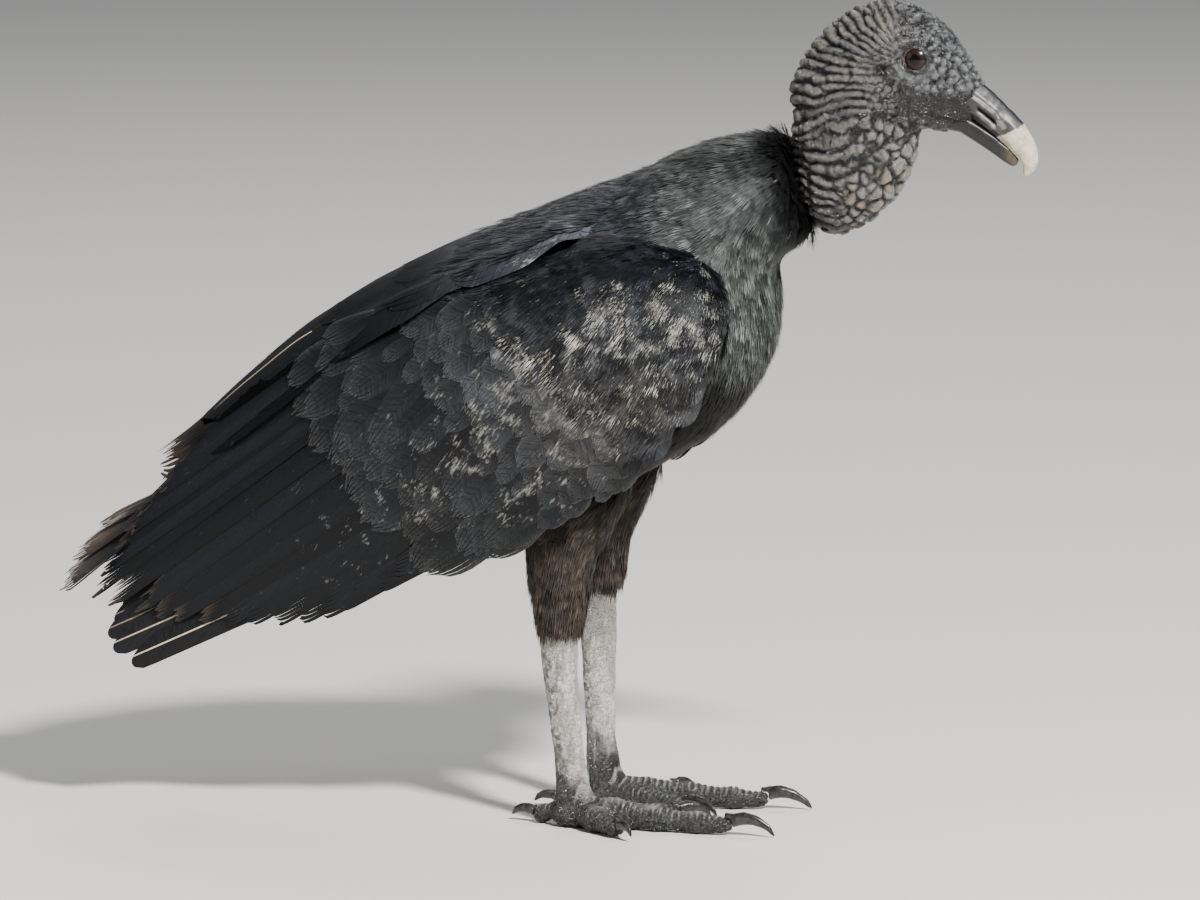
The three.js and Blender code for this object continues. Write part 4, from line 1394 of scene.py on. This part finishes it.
def tuft_tree():
    """Sets tufts on points: turned, sized and picked by the points' own values."""
    tree = bpy.data.node_groups.new("set tufts", "GeometryNodeTree")
    face = tree.interface
    face.new_socket("Geometry", in_out="INPUT", socket_type="NodeSocketGeometry")
    for label, kind, value in (
        ("Tufts", "NodeSocketCollection", None), ("Length", "NodeSocketFloat", 1.0),
        ("Uneven", "NodeSocketFloat", 0.2), ("Seed", "NodeSocketInt", 3),
        ("Material", "NodeSocketMaterial", None),
    ):
        socket = face.new_socket(label, in_out="INPUT", socket_type=kind)
        if value is not None:
            socket.default_value = value
    face.new_socket("Geometry", in_out="OUTPUT", socket_type="NodeSocketGeometry")
    node, feed = node_maker(tree)
    given, result = node("NodeGroupInput").outputs, node("NodeGroupOutput")

    def named(label, kind):
        made = node("GeometryNodeInputNamedAttribute", data_type=kind, Name=label)
        return made.outputs["Attribute"]

    kinds = node(
        "GeometryNodeCollectionInfo", given["Tufts"], Separate_Children=True, Reset_Children=True
    )
    chance = node("FunctionNodeRandomValue", data_type="FLOAT", Seed=given["Seed"])
    swing = node(
        "ShaderNodeMath", chance.outputs[1], given["Uneven"], 0.9, operation="MULTIPLY_ADD"
    )
    size = node("ShaderNodeMath", swing.outputs[0], given["Length"], operation="MULTIPLY")
    scale = node(
        "ShaderNodeVectorMath", named("size", "FLOAT_VECTOR"), operation="SCALE",
        Scale=size.outputs[0],
    )
    place = node(
        "GeometryNodeInstanceOnPoints", given["Geometry"], Pick_Instance=True,
        Instance=kinds.outputs[0], Instance_Index=named("kind", "INT"),
        Rotation=named("turn", "FLOAT_VECTOR"), Scale=scale.outputs[0],
    )
    real = node("GeometryNodeRealizeInstances", place.outputs[0])
    dressed = node("GeometryNodeSetMaterial", real.outputs[0], Material=given["Material"])
    feed(result.inputs[0], dressed.outputs[0])
    return tree


soft_tufts = tuft_kinds("soft tuft", barbs=6, fan=0.30, seed=50)
set_tufts = tuft_tree()
plumage_material = tuft_material("body plumage")


def grow_tufts(
    name, roots, aims, normals, lengths, widths, tones, patches, chalk=0, kind=soft_tufts
):
    """A piece of coat from the tufts' roots, directions and sizes, in millimetres."""
    forward = aims / np.linalg.norm(aims, axis=1)[:, None]
    across = np.cross(normals, forward)
    across /= np.linalg.norm(across, axis=1)[:, None]
    up = np.cross(forward, across)
    turn = [Matrix(axes).transposed().to_euler() for axes in np.stack([forward, across, up], 1)]
    mesh = new_mesh(name, roots, [])
    mark_points(mesh, "turn", "FLOAT_VECTOR", turn)
    mark_points(mesh, "size", "FLOAT_VECTOR", np.stack([lengths, widths, lengths], 1) / 1000)
    mark_points(mesh, "tone", "FLOAT_VECTOR", tones)
    mark_points(mesh, "patch", "FLOAT_VECTOR", np.column_stack([patches, 0 * lengths]))
    mark_points(mesh, "kind", "INT", tuft_rng.integers(0, len(kind.objects), len(roots)))
    mark_points(mesh, "chalk", "FLOAT", chalk + 0 * lengths)
    obj = set_out(name, mesh)
    growth = obj.modifiers.new("growth", "NODES")
    growth.node_group = set_tufts
    given = {s.name: s.identifier for s in set_tufts.interface.items_tree if s.in_out == "INPUT"}
    for label, value in (
        ("Tufts", kind), ("Length", 1.0), ("Uneven", 0.2), ("Seed", 5),
        ("Material", plumage_material),
    ):
        growth[given[label]] = value
    grown = plain_mesh(obj)

    def read_back(label):
        values = np.empty(len(grown.vertices) * 3, np.float32)
        grown.attributes[label].data.foreach_get("vector", values)
        return values.reshape(-1, 3)[:, :2]

    for old in list(grown.uv_layers):
        grown.uv_layers.remove(old)
    map_points(grown, "OFBake", read_back("patch") + 0.003 * read_back("leaf"))
    coat = set_out(name, grown)
    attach(coat, "root")


def roots_on(mesh, spacing, seed):
    """Points spread over a mesh about one spacing apart, each with its normal."""
    rng = np.random.default_rng(seed)
    mesh.calc_loop_triangles()
    tri = np.empty(len(mesh.loop_triangles) * 3, np.int32)
    mesh.loop_triangles.foreach_get("vertices", tri)
    tri = tri.reshape(-1, 3)
    places, normals = points_of(mesh), normals_of(mesh)
    a, b, c = places[tri[:, 0]], places[tri[:, 1]], places[tri[:, 2]]
    area = np.linalg.norm(np.cross(b - a, c - a), axis=1) / 2
    count = int(area.sum() / spacing**2 * 3.2)
    pick = rng.choice(len(tri), count, p=area / area.sum())
    u, v = rng.random(count), rng.random(count)
    u, v = np.where(u + v > 1, 1 - u, u), np.where(u + v > 1, 1 - v, v)
    shares = [share[:, None] for share in (1 - u - v, u, v)]
    at, n = [
        sum(values[corner] * share for corner, share in zip(tri[pick].T, shares))
        for values in (places, normals)
    ]
    _, keep = np.unique(np.floor(at / spacing).astype(np.int64), axis=0, return_index=True)
    keep = np.sort(keep)
    return at[keep], n[keep] / np.linalg.norm(n[keep], axis=1)[:, None]


lie_marks = np.array([
    # place x, z and the way the feathers lie there, x, z
    (100, 325, -0.55, -0.45), (60, 312, -0.9, -0.55), (20, 320, -1, -0.35), (-60, 290, -1, -0.45),
    (95, 290, -0.25, -1), (85, 250, -0.35, -1), (60, 210, -0.75, -0.7), (20, 175, -1, -0.35),
    (-60, 155, -1, -0.05), (-120, 160, -1, 0.05), (-170, 180, -1, -0.35), (-160, 225, -1, -0.6),
    (-5, 180, -0.35, -1), (-12, 140, -0.12, -1), (-14, 100, -0.05, -1),
], float)


def lie_of(p, normals):
    """The way the coat lies at each point, along the hide."""
    d2 = ((p[:, None, [0, 2]] - lie_marks[None, :, :2]) ** 2).sum(2) + 120
    w = 1 / d2**1.6
    way = (w[:, :, None] * lie_marks[None, :, 2:]).sum(1)
    aim = np.stack([way[:, 0], 0 * way[:, 0], way[:, 1]], 1)
    stray = np.stack([noise(p / 9, 101), 1.5 * noise(p / 9, 102), noise(p / 9, 103)], 1)
    aim += 0.09 * stray * np.linalg.norm(aim, axis=1)[:, None]
    aim -= normals * (aim * normals).sum(1)[:, None]
    return aim / np.linalg.norm(aim, axis=1)[:, None]


body_places, body_ways = roots_on(body_mesh, spacing=2.7, seed=61)
covers = [surface_tree(wing_grid(sign)) for sign in sides.values()]
hull = BVHTree.FromPolygons(
    points_of(body_mesh).tolist(), [tuple(f.vertices) for f in body_mesh.polygons]
)
showing = np.ones(len(body_places), bool)
for i, (at, way) in enumerate(zip(body_places, body_ways)):
    start, along = Vector(at + way * 1.0), Vector(way)
    if hull.ray_cast(start, along, 16)[0] is not None:
        showing[i] = False
    elif any(tree.ray_cast(start, along, 9)[0] is not None for tree in covers):
        showing[i] = False
x, y, z = body_places.T
# The thighs are feathered all round, under the wing's edge too.
showing |= (np.abs(x + 4) < 38) & (z < 148 + 0.35 * np.minimum(x + 12, 0))
roof_ridge, roof_half, roof_drop = read_off(roof_table, x, 1, 2, 3)
under_roof = (x < 14) & (np.abs(y) < roof_half - 4) & (z > roof_ridge - roof_drop - 30) & (z > 215)
showing &= ~(under_roof & (body_ways[:, 2] > 0.1))
# Nothing grows on the rump's end under the roof of long feathers.
showing &= ~((x < -150) & (z > 185))
# Nothing grows where the folded wing lies close against the flank.
showing &= ~((x < -60) & (z < roof_ridge - 8) & (np.abs(y) > wing_face(x, z, 1) - 12))
showing &= ~((x - 99) * 0.954 + (z - 321) * 0.298 > 4)
showing &= z > 102 + 14 * (y > 0) + 8 * noise(body_places / 5, 105) - 0.3 * (x + 12)
body_places, body_ways = body_places[showing], body_ways[showing]

# The mantle's small feathers run on over the roots of the shoulder's long ones.
mantle_x, mantle_share = np.meshgrid(
    np.arange(34, -84, -3.0), np.linspace(-1.07, 1.07, 32), indexing="ij"
)
mantle_side = np.where(mantle_share < 0, -1, 1)
mantle_grid = roof_point(mantle_x, np.abs(mantle_share), mantle_side)
mantle_mesh = new_mesh("mantle", mantle_grid.reshape(-1, 3), grid_faces(mantle_grid).reshape(-1, 4))
over_places, over_ways = roots_on(mantle_mesh, spacing=3.0, seed=62)
over_ways = over_ways * np.sign(over_ways[:, 2:])
fade = smooth(-74, -6, over_places[:, 0] + 14 * noise(over_places / 9, 107))
over = tuft_rng.random(len(over_places)) < fade
body_places = np.concatenate([body_places, over_places[over] + 0.9 * over_ways[over]])
body_ways = np.concatenate([body_ways, over_ways[over]])
x, y, z = body_places.T
leg_part = (np.abs(x + 10) < 46) & (z < 190) & (np.abs(y) > 8)
aims = lie_of(body_places, body_ways)
ruff = smooth(86, 98, x + 0.3 * (z - 325)) * smooth(288, 300, z)
lengths = 11 + 3.5 * (1 - smooth(235, 275, z)) - 2.5 * ruff
lengths = np.where(leg_part, 13 + 4 * (1 - smooth(98, 125, z)), lengths)
lengths = lengths * tuft_rng.uniform(0.85, 1.15, len(x))
widths = lengths * np.where(leg_part, 0.75, 0.95)
tilt = 0.10 + 0.16 * ruff
aims = aims + body_ways * tilt[:, None]
near, next_, _ = cells(body_places / (9.0, 7.0, 7.0), 109)
clumps = np.where(leg_part, 1, 0.55 + 0.75 * smooth(0.02, 0.4, next_ - near))
tones = plumage_tone(body_places) * (tuft_rng.uniform(0.55, 1.45, len(x)) * clumps)[:, None]
stray = (tuft_rng.random(len(x)) < 0.06) & (ruff > 0.2)
tones = np.where(stray[:, None], tone(140, 139, 132), tones)
widths = np.where(stray, 0.25 * widths, widths)
around = np.arctan2(y, z - np.interp(x, [-180, 45, 100], [187, 262, 320])) / (2 * math.pi) + 0.5
patches = np.stack([0.01 + 0.98 * around, 0.02 + 0.96 * (x + 190) / 310], 1)
leg_around = np.arctan2(np.abs(y) - 33, x + 12) / (2 * math.pi) + 0.5
leg_patches = np.stack([
    0.01 + 0.48 * leg_around + 0.5 * (y > 0), 0.02 + 0.96 * (z - 80) / 120,
], 1)
patches[leg_part] = leg_patches[leg_part]
for name, chosen in (
    ("breast_and_back_right", ~leg_part & (y < 0)),
    ("breast_and_back_left", ~leg_part & (y >= 0)),
    ("leg_feathers", leg_part),
):
    grow_tufts(
        name, body_places[chosen], aims[chosen], body_ways[chosen], lengths[chosen],
        widths[chosen], tones[chosen], patches[chosen],
    )

# Lesser coverts: short, silky feathers over the wrist and forearm, so close together that
# only their barbs show, streaked with dried droppings.
covert_tufts = tuft_kinds("covert tuft", barbs=9, fan=0.36, seed=70)
for side, sign in sides.items():
    form = wing_grid(sign)
    faces = grid_faces(form, (0, 3, 2, 1)).reshape(-1, 4)
    form_mesh = new_mesh("form", form.reshape(-1, 3), faces)
    places, ways = roots_on(form_mesh, spacing=2.8, seed=81)
    ways = ways * np.sign((ways * [0, sign, 0.35]).sum(1))[:, None]
    x, y, z = places.T
    down = -(x - wrist_x) * math.cos(slope) - (z - wrist_z) * math.sin(slope)
    low_edge, = read_off(wing_table, x, 5)
    wing_part = (down < 88 + 7 * noise(places / 12, 83)) & (x < (79 if sign < 0 else 73))
    wing_part &= (z > low_edge + 6) & (ways[:, 1] * sign > 0.05)
    places, ways, down = places[wing_part], ways[wing_part], down[wing_part]
    x, y, z = places.T
    angle = np.radians([wing_heading(a, b) for a, b in zip(x, z)])
    angle = angle + tuft_rng.normal(0, 0.10, len(x))
    aims = np.stack([-np.cos(angle), 0 * x, -np.sin(angle)], 1)
    aims -= ways * (aims * ways).sum(1)[:, None]
    aims /= np.linalg.norm(aims, axis=1)[:, None]
    lengths = np.interp(down, [0, 90], [10, 15]) * tuft_rng.uniform(0.85, 1.15, len(x))
    # Painted shade: darker where one clump of feathers meets the next, giving scalloped rows.
    near, next_, _ = cells(places / 6.5, 89)
    clumps = 0.35 + 1.4 * smooth(0.02, 0.45, next_ - near)
    tones = covert_tone(x, z) * (tuft_rng.uniform(0.6, 1.5, len(x)) * clumps)[:, None]
    wear = wing_wear(x, z)
    chalk = 0.38 * wear + 0.14 * noise(places / 3, 85) + tuft_rng.normal(0, 0.11, len(x)) - 0.04
    grow_tufts(
        "lesser_coverts_" + side, places - ways * 0.4, aims + 0.07 * ways, ways, lengths,
        lengths * 0.85, tones, np.stack(near_patch(x, z), 1), chalk, covert_tufts,
    )

# ---------------------------------------------------------------------------------------
# The stage: a plain pale floor and soft studio light. The camera looks at the bird's right
# side from a little in front and a little above.
floor_mesh = new_mesh(
    "floor",
    [(-9000, -9000, 0), (9000, -9000, 0), (9000, 9000, 0), (-9000, 9000, 0)], [(0, 1, 2, 3)],
)
floor_material, _, finish = new_material("floor")
finish(Base_Color=(0.72, 0.7, 0.67, 1), Roughness=0.7)
floor_mesh.materials.append(floor_material)
stage = [set_out("floor", floor_mesh)]
target = Vector((np.array([0, 0, 185.9]) + offset) / 1000)
for name, where, size, power in (
    ("key", (1.7, -2.0, 2.3), 0.4, 300),
    ("fill", (-2.6, -2.2, 1.2), 2.2, 13),
    ("rim", (-0.6, 2.4, 2.4), 1.6, 40),
    ("top", (0.2, 0.1, 3.0), 2.0, 12),
):
    light = bpy.data.lights.new(name, "AREA")
    light.shape = "DISK"
    light.size = size
    light.energy = power
    lamp = set_out(name, light)
    lamp.location = target + Vector(where)
    lamp.rotation_euler = (-Vector(where)).to_track_quat("-Z", "Y").to_euler()
    stage.append(lamp)

world = bpy.data.worlds.new("studio")
world.use_nodes = True
sky = world.node_tree.nodes["Background"]
sky.inputs["Color"].default_value = (0.9, 0.93, 1.0, 1)
sky.inputs["Strength"].default_value = 0.21
bpy.context.scene.world = world

turn, lift, away, seen_width = math.radians(13), math.radians(8), 5.0, 0.6
camera_data = bpy.data.cameras.new("camera")
camera_data.sensor_width = 36
camera_data.lens = camera_data.sensor_width * away / seen_width
camera = set_out("camera", camera_data)
toward = Vector((math.sin(turn) * math.cos(lift), -math.cos(turn) * math.cos(lift), math.sin(lift)))
camera.location = target + toward * away
camera.rotation_euler = toward.to_track_quat("Z", "Y").to_euler()
bpy.context.scene.camera = camera
